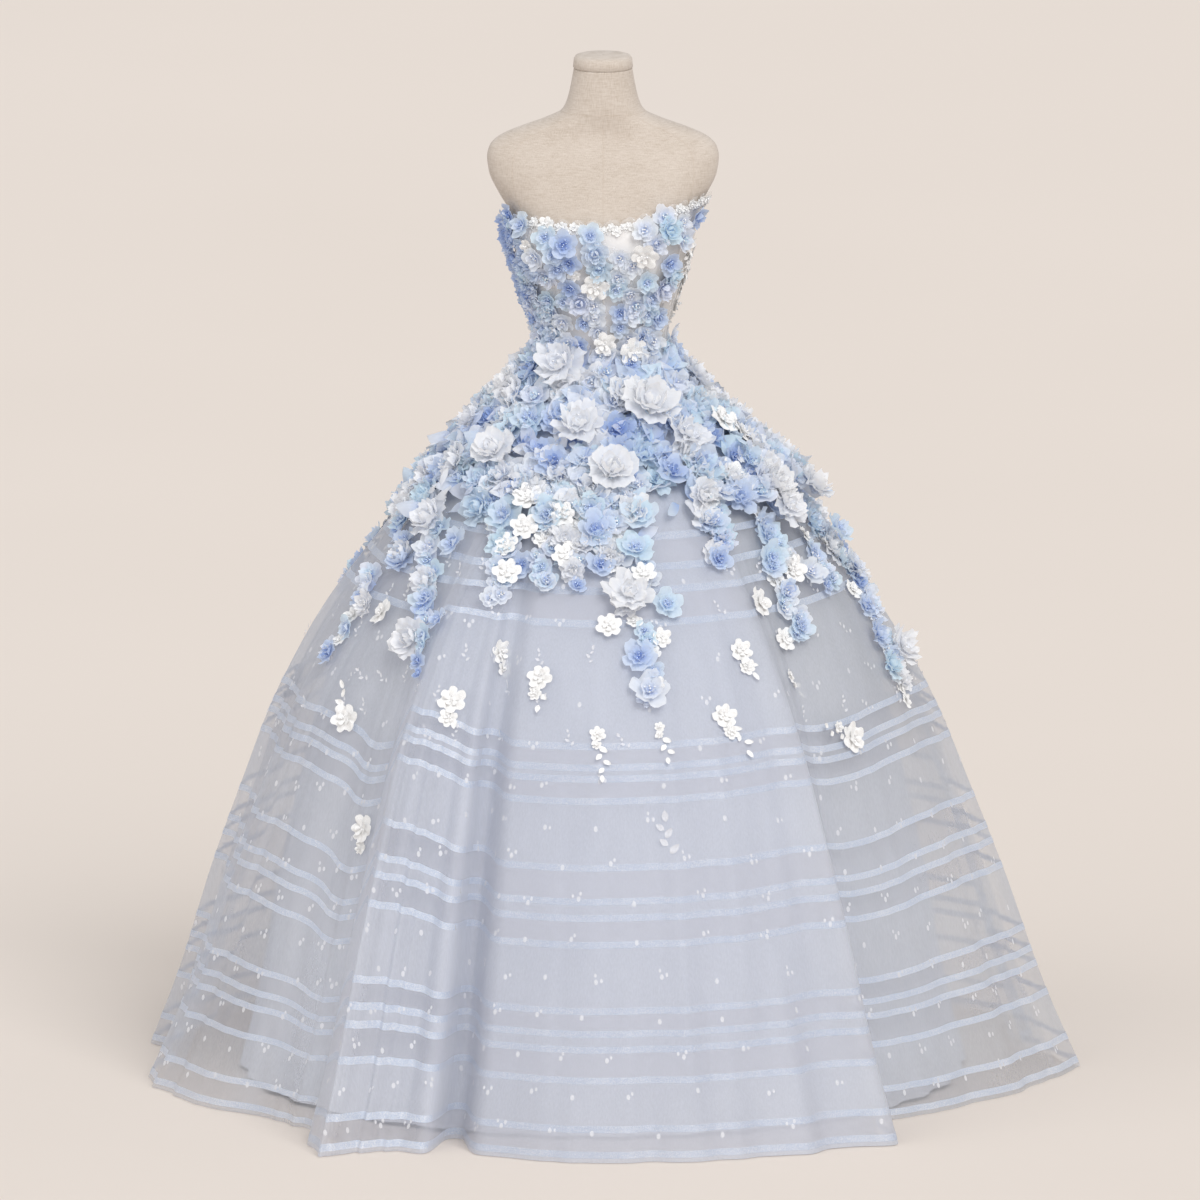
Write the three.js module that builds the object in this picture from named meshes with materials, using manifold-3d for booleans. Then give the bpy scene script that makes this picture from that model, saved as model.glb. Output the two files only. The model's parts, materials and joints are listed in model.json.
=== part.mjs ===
// A strapless ball gown with a striped organza skirt and applied cloth flowers, on a limbless dress form.
// Millimetres, +Z up, the wearer's front towards -Y. The origin is the centre of the stand's underside.
// Angles go round the gown from the centre front: 0 is the front, 90 is +X, 180 is the centre back.
import * as THREE from "three";
import { mergeVertices } from "three/addons/utils/BufferGeometryUtils.js";
import Module from "manifold-3d";

const wasm = await Module();
wasm.setup();

// Driving sizes
const SEAM_GAP = 0.3;
const WAIST_HEIGHT = 1198;
const SKIRT_TOP = WAIST_HEIGHT - SEAM_GAP;
const SKIRT_WALL = 2;
const UNDERSKIRT_WALL = 1.5;
const UNDERSKIRT_HEM = 6;
// How far the underskirt lies inside the skirt, growing from the waist to the hem by a power of the drop.
const UNDERSKIRT_EASE = { waist: 3, hem: 165, power: 1.15 };
const BODICE_EASE = 4;
const BODICE_WALL = 2.5;
const FORM_BOTTOM = 945;
const FORM_TOP = 1678;
const STAND = { baseRadius: 175, baseHeight: 14, baseRim: 8, collarRadius: 30, poleRadius: 16 };
const BASE_SIDES = 32;
const POLE_SIDES = 16;
// The folds start below this height, and deepen by a power of the drop.
const FOLD_TOP = 960;
const FOLD_POWER = 0.85;
// The waist is an oval this much shallower than wide, and the skirt is round below this height.
const DEPTH_SHARE_AT_WAIST = 0.815;
const FULL_ROUND_HEIGHT = 1000;

// The skirt's outline from the side: the radius at each height, without the folds.
const SKIRT_PROFILE = [
  { height: 0, radius: 765 },
  { height: 142, radius: 708 },
  { height: 327, radius: 648 },
  { height: 477, radius: 594 },
  { height: 611, radius: 544 },
  { height: 712, radius: 494 },
  { height: 790, radius: 447 },
  { height: 863, radius: 394 },
  { height: 950, radius: 325 },
  { height: 1030, radius: 256 },
  { height: 1114, radius: 180 },
  { height: 1165, radius: 133 },
  { height: SKIRT_TOP, radius: 107.5 },
];

// The skirt's folds, in order round the gown. Each crest or valley runs from its angle at the hip to its
// angle at the hem, and out is how far the hem stands outside the plain round outline there.
const FOLDS = [
  { name: "back_left_valley", hip: -176, hem: -176, out: -38 },
  { name: "back_left_crest", hip: -158, hem: -160, out: 24 },
  { name: "back_left_dip", hip: -140, hem: -143, out: -46 },
  { name: "left_rear_crest", hip: -122, hem: -127, out: 18 },
  { name: "left_rear_dip", hip: -108, hem: -116, out: -40 },
  { name: "left_side_crest", hip: -92, hem: -106, out: 2 },
  { name: "left_notch", hip: -78, hem: -93, out: -48 },
  { name: "left_corner", hip: -62, hem: -79, out: -3 },
  { name: "left_panel", hip: -55, hem: -66, out: -18 },
  { name: "left_ripple", hip: -49, hem: -53, out: -66 },
  { name: "flute_valley", hip: -43, hem: -44, out: -58 },
  { name: "flute_crest", hip: -36, hem: -33, out: 98 },
  { name: "flute_middle", hip: -29, hem: -28, out: 22 },
  { name: "flute_tuck", hip: -22, hem: -23, out: -88 },
  { name: "front_left_rise", hip: -15, hem: -15, out: -14 },
  { name: "front_centre", hip: -2, hem: -3, out: 17 },
  { name: "front_right", hip: 16, hem: 15, out: 19 },
  { name: "front_edge", hip: 34, hem: 35, out: 10 },
  { name: "right_valley", hip: 43, hem: 45, out: -118 },
  { name: "right_panel", hip: 58, hem: 60, out: -84 },
  { name: "right_panel_rise", hip: 72, hem: 74, out: -36 },
  { name: "right_corner", hip: 86, hem: 88, out: 11 },
  { name: "right_rear_dip", hip: 102, hem: 102, out: -42 },
  { name: "right_rear_crest", hip: 118, hem: 118, out: 20 },
  { name: "back_right_dip", hip: 135, hem: 135, out: -48 },
  { name: "back_right_crest", hip: 152, hem: 152, out: 22 },
  { name: "back_middle_dip", hip: 167, hem: 167, out: -36 },
];
const STEPS_PER_FOLD = 3;
const SKIRT_LEVELS = [0, 200, 420, 650, 740, 830, 968, 1045, 1160, SKIRT_TOP];

// The gores of the skirt, each from one fold line to another, so that every seam lies in a hollow.
const GORES = [
  { name: "skirt_front", from: "flute_tuck", to: "right_valley" },
  { name: "skirt_right_front", from: "right_valley", to: "right_rear_dip" },
  { name: "skirt_right_back", from: "right_rear_dip", to: "back_right_dip" },
  { name: "skirt_back_right", from: "back_right_dip", to: "back_left_valley" },
  { name: "skirt_back_left", from: "back_left_valley", to: "back_left_dip" },
  { name: "skirt_left_back", from: "back_left_dip", to: "left_rear_dip" },
  { name: "skirt_left_side", from: "left_rear_dip", to: "left_notch" },
  { name: "skirt_left_front", from: "left_notch", to: "flute_tuck" },
];

const UNDERSKIRT_PANELS = 6;
const UNDERSKIRT_STEPS = 5;
const UNDERSKIRT_LEVELS = [UNDERSKIRT_HEM, 320, 650, 830, 968, 1045, 1160, SKIRT_TOP];

// The dress form's sections: half its width, and its depth to the front and to the back.
const FORM_SECTIONS = [
  { height: FORM_BOTTOM, side: 150, front: 104, back: 110 },
  { height: 1010, side: 149, front: 103, back: 110 },
  { height: 1100, side: 127, front: 93, back: 98 },
  { height: 1198, side: 98, front: 79, back: 79 },
  { height: 1243, side: 101, front: 82, back: 78 },
  { height: 1300, side: 116, front: 94, back: 84 },
  { height: 1355, side: 133, front: 106, back: 89 },
  { height: 1400, side: 144, front: 110, back: 91 },
  { height: 1435, side: 152, front: 106, back: 92 },
  { height: 1470, side: 172, front: 94, back: 90 },
  { height: 1505, side: 188, front: 80, back: 83 },
  { height: 1530, side: 191, front: 70, back: 74 },
  { height: 1547, side: 187, front: 62, back: 66 },
  { height: 1559, side: 177, front: 56, back: 61 },
  { height: 1569, side: 160, front: 52, back: 57 },
  { height: 1579, side: 135, front: 50, back: 55 },
  { height: 1592, side: 98, front: 50, back: 54 },
  { height: 1606, side: 69, front: 51, back: 53 },
  { height: 1625, side: 59, front: 50, back: 52 },
  { height: 1650, side: 53, front: 48, back: 50 },
  { height: FORM_TOP, side: 48, front: 46, back: 47 },
];
const FORM_STEPS = 24;
const SECTION_SQUARENESS = 2.25;
// The neck cap's rings: the height above its foot, and the width as a share of the neck's.
const CAP_RINGS = [
  { height: 0, share: 0.985 },
  { height: 2, share: 1.03 },
  { height: 15, share: 1 },
  { height: 19, share: 0.94 },
  { height: 21, share: 0.8 },
];
const BUST = { angle: 33, height: 1392, out: 15, angleSpread: 19, heightSpread: 44 };

// The bodice's top edge: the neckline's height at each angle.
const NECKLINE = [
  { angle: -180, height: 1385 },
  { angle: -125, height: 1392 },
  { angle: -98, height: 1424 },
  { angle: -80, height: 1441 },
  { angle: -48, height: 1437 },
  { angle: -20, height: 1432 },
  { angle: 0, height: 1431 },
  { angle: 22, height: 1441 },
  { angle: 45, height: 1457 },
  { angle: 75, height: 1466 },
  { angle: 98, height: 1440 },
  { angle: 125, height: 1392 },
  { angle: 180, height: 1385 },
];
const BODICE_PANELS = [
  { name: "bodice_front", from: -36, to: 36, steps: 8 },
  { name: "bodice_side_right", from: 36, to: 99, steps: 7 },
  { name: "bodice_back_right", from: 99, to: 180, steps: 6 },
  { name: "bodice_back_left", from: -180, to: -99, steps: 6 },
  { name: "bodice_side_left", from: -99, to: -36, steps: 7 },
];
const BODICE_ROWS = 6;
const LACE_EDGE = { from: -90, to: 90, steps: 32, wall: 1.5, below: 10, above: 8, scallop: 6 };

// Cloth flowers, as shares of their radius: the notch between petals, how far a petal's rim lifts off, how wide
// the heart is (0 where it is one raised point) and how high it stands.
const BLOOM = {
  rose: { petals: 5, notch: 0.84, rim: 0.4, heart: 0.6, heartRise: 0.62 },
  blossom: { petals: 5, notch: 0.62, rim: 0.32, heart: 0, heartRise: 0.2 },
  lace: { petals: 5, notch: 0.66, rim: 0.08, heart: 0, heartRise: 0.16 },
};
const STEM_SIDES = 3;
const STEM_RADIUS = 4;
const BACKING = { clear: 0.4, outside: 2 };
// Where a flower's stem starts and its petals leave, outwards from the cloth.
const SEATS = {
  onBand: { foot: 0.5, base: 3.2 },
  onStrip: { foot: -4, base: 3 },
  onCloth: { foot: -7, base: 2 },
};
const KEEP_CLEAR = 0.35;
const SMALLEST_STEP = 0.12;

// The dense flowers over the hips, in rings: how many go round, and how large they are.
const HIP_RINGS = [
  { height: 1150, count: 9, radius: 41, offset: 4 },
  { height: 1094, count: 11, radius: 43, offset: 14 },
  { height: 1038, count: 12, radius: 45, offset: 2 },
  { height: 984, count: 14, radius: 44, offset: 9 },
];
const HIP_BAND = { top: 1160, bottom: 968 };
const TRAIL_CUT = 930;

// Trails of flowers that run down from the hips, from one angle and height to another.
// Each lies on the strip of cloth from its fold's line to the next step, and bottom is a level of the skirt.
const TRAILS = [
  { name: "left_outer", fold: "left_corner", bottom: 650, blooms: 4, radius: 31 },
  { name: "left_inner", fold: "flute_valley", bottom: 740, blooms: 3, radius: 33 },
  { name: "left_front", fold: "flute_tuck", bottom: 830, blooms: 2, radius: 25 },
  { name: "front_long", fold: "front_centre", bottom: 650, blooms: 4, radius: 35 },
  { name: "front_right", fold: "front_right", bottom: 830, blooms: 2, radius: 26 },
  { name: "right_inner", fold: "right_valley", bottom: 740, blooms: 3, radius: 31 },
  { name: "right_outer", fold: "right_panel_rise", bottom: 650, blooms: 4, radius: 33 },
  { name: "right_rear", fold: "right_rear_dip", bottom: 740, blooms: 3, radius: 31 },
  { name: "back_long", fold: "back_middle_dip", bottom: 650, blooms: 4, radius: 33 },
  { name: "back_left", fold: "back_left_dip", bottom: 740, blooms: 3, radius: 31 },
  { name: "left_rear", fold: "left_rear_dip", bottom: 740, blooms: 3, radius: 31 },
];
const TRAIL_TOP = 968;

// Flowers on the bodice.
const BODICE_BLOOMS = [
  { angle: -80, height: 1408, radius: 24, kind: "blossom" },
  { angle: -74, height: 1360, radius: 25, kind: "blossom" },
  { angle: -52, height: 1398, radius: 25, kind: "blossom" },
  { angle: -25, height: 1404, radius: 25, kind: "blossom" },
  { angle: -4, height: 1402, radius: 22, kind: "blossom" },
  { angle: 26, height: 1410, radius: 28, kind: "rose" },
  { angle: 52, height: 1406, radius: 26, kind: "rose" },
  { angle: 4, height: 1362, radius: 26, kind: "lace" },
  { angle: 34, height: 1360, radius: 25, kind: "blossom" },
  { angle: -24, height: 1352, radius: 24, kind: "blossom" },
  { angle: -52, height: 1316, radius: 24, kind: "blossom" },
  { angle: -10, height: 1306, radius: 26, kind: "lace" },
  { angle: 22, height: 1310, radius: 24, kind: "blossom" },
  { angle: 48, height: 1300, radius: 22, kind: "blossom" },
  { angle: -32, height: 1266, radius: 24, kind: "blossom" },
  { angle: 6, height: 1256, radius: 25, kind: "blossom" },
  { angle: 38, height: 1244, radius: 25, kind: "blossom" },
  { angle: -18, height: 1222, radius: 28, kind: "rose" },
];
const BODICE_BACKING = { from: -90, to: 54 };

// White lace motifs that lie by themselves on the skirt.
const LACE_MOTIFS = [
  { name: "lace_1", angle: -76, height: 566, radius: 25 },
  { name: "lace_2", angle: -46, height: 590, radius: 25 },
  { name: "lace_3", angle: -37, height: 430, radius: 22 },
  { name: "lace_4", angle: -23, height: 700, radius: 23 },
  { name: "lace_5", angle: -14, height: 664, radius: 24 },
  { name: "lace_6", angle: 26, height: 712, radius: 24 },
  { name: "lace_7", angle: 24, height: 600, radius: 25 },
  { name: "lace_8", angle: 30, height: 802, radius: 22 },
  { name: "lace_9", angle: 56, height: 574, radius: 27 },
  { name: "lace_10", angle: 112, height: 620, radius: 25 },
  { name: "lace_11", angle: 143, height: 560, radius: 25 },
  { name: "lace_12", angle: -156, height: 600, radius: 25 },
];

const MATERIALS = {
  linen: new THREE.MeshStandardMaterial({ color: 0xd9cabc, roughness: 0.95 }),
  steel: new THREE.MeshStandardMaterial({ color: 0xb9b4ad, roughness: 0.45, metalness: 0.6 }),
  organza: new THREE.MeshStandardMaterial({ color: 0xc9ccda, roughness: 0.6 }),
  underskirt: new THREE.MeshStandardMaterial({ color: 0xd3d5df, roughness: 0.8 }),
  satin: new THREE.MeshStandardMaterial({ color: 0xe9e7e6, roughness: 0.6 }),
  lace: new THREE.MeshStandardMaterial({ color: 0xf0efec, roughness: 0.8 }),
  petals: new THREE.MeshStandardMaterial({ color: 0xa9c3ea, roughness: 0.7 }),
};

const radians = THREE.MathUtils.degToRad;
const gown = new THREE.Group();

// Adds a closed mesh to the gown under its own name.
function add(name, geometry, material) {
  geometry.computeVertexNormals();
  const mesh = new THREE.Mesh(geometry, material);
  mesh.name = name;
  gown.add(mesh);
}

// A smooth value at x from a table's two columns, without overshoot.
function smoothColumn(table, keyColumn, valueColumn, x) {
  const last = table.length - 1;
  if (x <= table[0][keyColumn]) return table[0][valueColumn];
  if (x >= table[last][keyColumn]) return table[last][valueColumn];
  let row = 0;
  while (table[row + 1][keyColumn] < x) row += 1;
  const slopeOf = (i) =>
    (table[i + 1][valueColumn] - table[i][valueColumn]) / (table[i + 1][keyColumn] - table[i][keyColumn]);
  const tangentAt = (i) => {
    if (i === 0) return slopeOf(0);
    if (i === last) return slopeOf(last - 1);
    const before = slopeOf(i - 1);
    const after = slopeOf(i);
    return before * after <= 0 ? 0 : (2 * before * after) / (before + after);
  };
  const span = table[row + 1][keyColumn] - table[row][keyColumn];
  const t = (x - table[row][keyColumn]) / span;
  const start = table[row][valueColumn];
  const end = table[row + 1][valueColumn];
  const rise = 2 * t ** 3 - 3 * t ** 2 + 1;
  const leave = (t ** 3 - 2 * t ** 2 + t) * span * tangentAt(row);
  const arrive = (t ** 3 - t ** 2) * span * tangentAt(row + 1);
  return rise * start + (1 - rise) * end + leave + arrive;
}

// How far a fold stands out at a height, from 0 above the folds to 1 at the hem.
function foldShare(height) {
  return Math.max(0, 1 - height / FOLD_TOP) ** FOLD_POWER;
}

// The gown is oval at the waist and round below the hips.
function depthShare(height) {
  const t = THREE.MathUtils.clamp((height - FULL_ROUND_HEIGHT) / (SKIRT_TOP - FULL_ROUND_HEIGHT), 0, 1);
  return 1 - (1 - DEPTH_SHARE_AT_WAIST) * t;
}

function onRound(angle, radius, height) {
  const a = radians(angle);
  return new THREE.Vector3(radius * Math.sin(a), -radius * Math.cos(a) * depthShare(height), height);
}

// The angle at a place between fold lines. Place 0 is the first fold, and whole numbers are the fold lines.
function foldAngle(place, height) {
  const count = FOLDS.length;
  const turn = Math.floor(place / count);
  const index = Math.floor(place - turn * count);
  const share = place - turn * count - index;
  const drop = THREE.MathUtils.clamp(1 - height / FOLD_TOP, 0, 1);
  const angleOf = (i) => {
    const fold = FOLDS[i % count];
    return fold.hip + (fold.hem - fold.hip) * drop + 360 * Math.floor(i / count);
  };
  return angleOf(index) * (1 - share) + angleOf(index + 1) * share + 360 * turn;
}

// The skirt's outer face.
function skirtPoint(place, height) {
  const count = FOLDS.length;
  const wrapped = ((place % count) + count) % count;
  const index = Math.floor(wrapped);
  const share = wrapped - index;
  const ease = share * share * (3 - 2 * share);
  const out = FOLDS[index].out * (1 - ease) + FOLDS[(index + 1) % count].out * ease;
  const radius = smoothColumn(SKIRT_PROFILE, "height", "radius", height) + out * foldShare(height);
  return onRound(foldAngle(place, height), radius, height);
}

// The place between fold lines that has this angle at this height.
function placeOf(angle, height) {
  let low = 0;
  let high = FOLDS.length;
  const wanted = angle < foldAngle(0, height) ? angle + 360 : angle;
  for (let i = 0; i < 30; i += 1) {
    const middle = (low + high) / 2;
    if (foldAngle(middle, height) < wanted) low = middle;
    else high = middle;
  }
  return low;
}

function underskirtPoint(angle, height) {
  const drop = 1 - height / SKIRT_TOP;
  const ease = UNDERSKIRT_EASE.waist + UNDERSKIRT_EASE.hem * drop ** UNDERSKIRT_EASE.power;
  return onRound(angle, smoothColumn(SKIRT_PROFILE, "height", "radius", height) - ease, height);
}

// The dress form's surface, a rounded oval with a gentle bust.
function formPoint(angle, height) {
  const a = radians(angle);
  const power = 2 / SECTION_SQUARENESS;
  const size = (column) => smoothColumn(FORM_SECTIONS, "height", column, height);
  const across = Math.sign(Math.sin(a)) * Math.abs(Math.sin(a)) ** power * size("side");
  const depth = Math.cos(a) > 0 ? size("front") : size("back");
  const along = -Math.sign(Math.cos(a)) * Math.abs(Math.cos(a)) ** power * depth;
  const wrapped = THREE.MathUtils.euclideanModulo(angle + 180, 360) - 180;
  const fromBust = (Math.abs(wrapped) - BUST.angle) / BUST.angleSpread;
  const overBust = (height - BUST.height) / BUST.heightSpread;
  const bust = BUST.out * Math.exp(-(fromBust ** 2) - overBust ** 2);
  return new THREE.Vector3(across + bust * Math.sin(a), along - bust * Math.cos(a), height);
}

// The level direction out of a surface, from two neighbouring points.
function levelNormal(pointAt, u, v, step) {
  const along = pointAt(u + step, v).sub(pointAt(u - step, v));
  return new THREE.Vector3(along.y, -along.x, 0).normalize();
}

function bodicePoint(angle, height) {
  const out = levelNormal(formPoint, angle, height, 1);
  return formPoint(angle, height).addScaledVector(out, BODICE_EASE + BODICE_WALL);
}

// A closed wall. columns are values of u across it, and rowsAt(u) gives its values of v, from its foot up.
// The outer face is pointAt moved out by outside, and the inner face is moved in by inside.
function wallGeometry({ columns, rowsAt, pointAt, step, inside, outside = 0, gap = SEAM_GAP }) {
  const across = columns.length;
  const up = rowsAt(columns[0]).length;
  const positions = [];
  for (const face of [outside, -inside]) {
    columns.forEach((column, i) => {
      rowsAt(column).forEach((v) => {
        const edge = (i === 0 ? 1 : 0) - (i === across - 1 ? 1 : 0);
        const pace = pointAt(column + step, v).distanceTo(pointAt(column - step, v)) / (2 * step);
        const u = column + (edge * gap) / 2 / pace;
        const point = pointAt(u, v).addScaledVector(levelNormal(pointAt, u, v, step), face);
        positions.push(point.x, point.y, point.z);
      });
    });
  }
  const outer = (i, j) => i * up + j;
  const inner = (i, j) => across * up + i * up + j;
  const faces = [];
  const quad = (a, b, c, d) => faces.push(a, b, c, a, c, d);
  for (let i = 0; i + 1 < across; i += 1) {
    for (let j = 0; j + 1 < up; j += 1) {
      quad(outer(i, j), outer(i + 1, j), outer(i + 1, j + 1), outer(i, j + 1));
      quad(inner(i, j), inner(i, j + 1), inner(i + 1, j + 1), inner(i + 1, j));
    }
    quad(outer(i, 0), inner(i, 0), inner(i + 1, 0), outer(i + 1, 0));
    quad(outer(i, up - 1), outer(i + 1, up - 1), inner(i + 1, up - 1), inner(i, up - 1));
  }
  for (let j = 0; j + 1 < up; j += 1) {
    quad(outer(0, j), outer(0, j + 1), inner(0, j + 1), inner(0, j));
    quad(outer(across - 1, j), inner(across - 1, j), inner(across - 1, j + 1), outer(across - 1, j + 1));
  }
  return indexed(positions, faces);
}

function indexed(positions, faces) {
  const geometry = new THREE.BufferGeometry();
  geometry.setAttribute("position", new THREE.Float32BufferAttribute(positions, 3));
  geometry.setIndex(faces);
  return geometry;
}

// A closed solid through level rings, from the lowest up, with a middle point at each end.
function ringsGeometry(rings) {
  const around = rings[0].length;
  const positions = [];
  rings.forEach((ring) => ring.forEach((p) => positions.push(p.x, p.y, p.z)));
  const faces = [];
  for (let k = 0; k + 1 < rings.length; k += 1) {
    for (let i = 0; i < around; i += 1) {
      const next = (i + 1) % around;
      const a = k * around + i;
      const b = k * around + next;
      faces.push(a, b, b + around, a, b + around, a + around);
    }
  }
  const ends = [rings[0], rings[rings.length - 1]];
  ends.forEach((ring, end) => {
    const middle = ring.reduce((sum, p) => sum.add(p), new THREE.Vector3()).divideScalar(around);
    const centre = positions.length / 3;
    positions.push(middle.x, middle.y, middle.z);
    const first = end * (rings.length - 1) * around;
    for (let i = 0; i < around; i += 1) {
      const pair = [first + i, first + ((i + 1) % around)];
      if (end) faces.push(centre, pair[0], pair[1]);
      else faces.push(centre, pair[1], pair[0]);
    }
  });
  return indexed(positions, faces);
}

function range(from, to, steps) {
  return Array.from({ length: steps + 1 }, (_, i) => from + ((to - from) * i) / steps);
}

function toSolid(geometry) {
  const bare = new THREE.BufferGeometry();
  bare.setAttribute("position", geometry.getAttribute("position"));
  bare.setIndex(geometry.getIndex());
  const merged = mergeVertices(bare, 1e-4);
  return new wasm.Manifold(
    new wasm.Mesh({
      numProp: 3,
      vertProperties: merged.getAttribute("position").array,
      triVerts: new Uint32Array(merged.getIndex().array),
    }),
  );
}

function toGeometry(solid) {
  const mesh = solid.simplify(SMALLEST_STEP).getMesh();
  const positions = [];
  for (let i = 0; i < mesh.numVert; i += 1) {
    positions.push(...mesh.vertProperties.subarray(i * mesh.numProp, i * mesh.numProp + 3));
  }
  return indexed(positions, [...mesh.triVerts]);
}

// A cloth flower as a shallow cup on a stem: a wavy rim of petals round a raised heart. Every point of it is a
// point of the surface that it lies on, moved out.
function bloomSolid(kind, radius, pointAt, u, v, step, turn, seat) {
  const shape = BLOOM[kind];
  const paceU = pointAt(u + step.u, v).distanceTo(pointAt(u - step.u, v)) / (2 * step.u);
  const paceV = pointAt(u, v + step.v).distanceTo(pointAt(u, v - step.v)) / (2 * step.v);
  const place = (reach, angle, rise) => {
    const atU = u + (reach * Math.cos(angle)) / paceU;
    const atV = v + (reach * Math.sin(angle)) / paceV;
    const across = pointAt(atU + step.u, atV).sub(pointAt(atU - step.u, atV));
    const upward = pointAt(atU, atV + step.v).sub(pointAt(atU, atV - step.v));
    const out = new THREE.Vector3().crossVectors(across, upward).normalize();
    return pointAt(atU, atV).addScaledVector(out, rise);
  };
  const { foot, base } = seat;
  const rim = [];
  const heart = [];
  for (let petal = 0; petal < shape.petals; petal += 1) {
    const middle = turn + (2 * Math.PI * petal) / shape.petals;
    const half = Math.PI / shape.petals;
    const wave = 1 + 0.25 * Math.sin(3 * petal + turn);
    rim.push(place(radius * shape.notch, middle - half, base + radius * shape.rim * 0.6));
    rim.push(place(radius, middle - half * 0.45, base + radius * shape.rim * wave));
    rim.push(place(radius, middle + half * 0.45, base + radius * shape.rim * wave));
    if (shape.heart) heart.push(place(radius * shape.heart, middle, base + 1 + radius * shape.heartRise));
  }
  if (!shape.heart) heart.push(place(0, 0, base + 1 + radius * shape.heartRise));
  const stemAt = (rise) =>
    Array.from({ length: STEM_SIDES }, (_, side) =>
      place(STEM_RADIUS, turn + (2 * Math.PI * side) / STEM_SIDES, rise),
    );
  const positions = [];
  [...stemAt(foot), ...stemAt(base), ...rim, ...heart].forEach((p) => positions.push(p.x, p.y, p.z));
  const faces = [];
  const rimStart = 2 * STEM_SIDES;
  const heartStart = rimStart + rim.length;
  const onStem = (side) => side % STEM_SIDES;
  for (let side = 0; side < STEM_SIDES; side += 1) {
    const low = onStem(side);
    const lowNext = onStem(side + 1);
    faces.push(low, lowNext, STEM_SIDES + lowNext, low, STEM_SIDES + lowNext, STEM_SIDES + low);
  }
  faces.push(0, 2, 1);
  const perSide = rim.length / STEM_SIDES;
  for (let i = 0; i < rim.length; i += 1) {
    const next = (i + 1) % rim.length;
    const under = STEM_SIDES + Math.floor(i / perSide);
    const underNext = STEM_SIDES + (Math.floor((i + 1) / perSide) % STEM_SIDES);
    faces.push(under, rimStart + next, rimStart + i);
    if (underNext !== under) faces.push(under, underNext, rimStart + next);
    const over = heartStart + (Math.floor(i / 3) % heart.length);
    const overNext = heartStart + (Math.floor((i + 1) / 3) % heart.length);
    faces.push(rimStart + i, rimStart + next, over);
    if (overNext !== over) faces.push(rimStart + next, overNext, over);
  }
  for (let petal = 1; petal + 1 < heart.length; petal += 1) {
    faces.push(heartStart, heartStart + petal, heartStart + petal + 1);
  }
  return toSolid(indexed(positions, faces));
}

// The whole inside of a surface, a little enlarged, that flowers are cut back from.
function keepOutSolid(columns, rowsAt, pointAt, step) {
  const levels = rowsAt(columns[0]).length;
  const rings = [];
  for (let j = 0; j < levels; j += 1) {
    rings.push(
      columns.map((u) => {
        const v = rowsAt(u)[j];
        return pointAt(u, v).addScaledVector(levelNormal(pointAt, u, v, step), KEEP_CLEAR);
      }),
    );
  }
  return toSolid(ringsGeometry(rings));
}

// The skirt and the underskirt
const foldIndex = (name) => FOLDS.findIndex((fold) => fold.name === name);
const skirtStep = 0.02;

function makeSkirt() {
  for (const gore of GORES) {
    const first = foldIndex(gore.from);
    let last = foldIndex(gore.to);
    if (last <= first) last += FOLDS.length;
    const geometry = wallGeometry({
      columns: range(first, last, (last - first) * STEPS_PER_FOLD),
      rowsAt: () => SKIRT_LEVELS,
      pointAt: skirtPoint,
      step: skirtStep,
      inside: SKIRT_WALL,
    });
    add(gore.name, geometry, MATERIALS.organza);
  }
}

function makeUnderskirt() {
  const width = 360 / UNDERSKIRT_PANELS;
  for (let panel = 0; panel < UNDERSKIRT_PANELS; panel += 1) {
    const geometry = wallGeometry({
      columns: range(panel * width, (panel + 1) * width, UNDERSKIRT_STEPS),
      rowsAt: () => UNDERSKIRT_LEVELS,
      pointAt: underskirtPoint,
      step: 0.5,
      inside: UNDERSKIRT_WALL,
    });
    add(`underskirt_${panel + 1}`, geometry, MATERIALS.underskirt);
  }
}

// The bodice and its lace edge
const necklineAt = (angle) => {
  const wrapped = THREE.MathUtils.euclideanModulo(angle + 180, 360) - 180;
  return smoothColumn(NECKLINE, "angle", "height", wrapped);
};

function bodiceRows(angle) {
  const top = necklineAt(angle);
  return [...range(WAIST_HEIGHT, top - LACE_EDGE.below - 1, BODICE_ROWS), top];
}

const bodiceColumns = BODICE_PANELS.flatMap((panel) => range(panel.from, panel.to, panel.steps).slice(0, -1));
bodiceColumns.sort((a, b) => a - b);

function makeBodice() {
  for (const panel of BODICE_PANELS) {
    const geometry = wallGeometry({
      columns: range(panel.from, panel.to, panel.steps),
      rowsAt: bodiceRows,
      pointAt: bodicePoint,
      step: 0.5,
      inside: BODICE_WALL,
    });
    add(panel.name, geometry, MATERIALS.satin);
  }
}

// The lace strip lies outside the bodice's top edge, with a scalloped upper side.
function makeLaceEdge() {
  const columns = range(LACE_EDGE.from, LACE_EDGE.to, LACE_EDGE.steps);
  const geometry = wallGeometry({
    columns,
    rowsAt: (angle) => {
      const index = Math.round((angle - columns[0]) / (columns[1] - columns[0]));
      const top = necklineAt(angle);
      return [top - LACE_EDGE.below, top, top + LACE_EDGE.above + (index % 2 ? LACE_EDGE.scallop : 0)];
    },
    pointAt: bodicePoint,
    step: 0.5,
    outside: BACKING.clear + LACE_EDGE.wall,
    inside: -BACKING.clear,
  });
  add("neckline_lace", geometry, MATERIALS.lace);
}

// Flowers on the skirt: a backing over the hips, a strip for each trail, and the flowers on them
const byAngle = (angle, height) => skirtPoint(placeOf(angle, height), height);
const byPlace = { pointAt: skirtPoint, step: { u: 0.1, v: 6 } };
const byDegrees = { pointAt: byAngle, step: { u: 1, v: 6 } };

function backingSolid(columns, rowsAt, pointAt, step) {
  const wall = { columns, rowsAt, pointAt, step, inside: -BACKING.clear, outside: BACKING.outside, gap: 0 };
  return toSolid(wallGeometry(wall));
}

function largestBody(solid) {
  return solid.decompose().reduce((best, body) => (body.volume() > best.volume() ? body : best));
}

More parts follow.
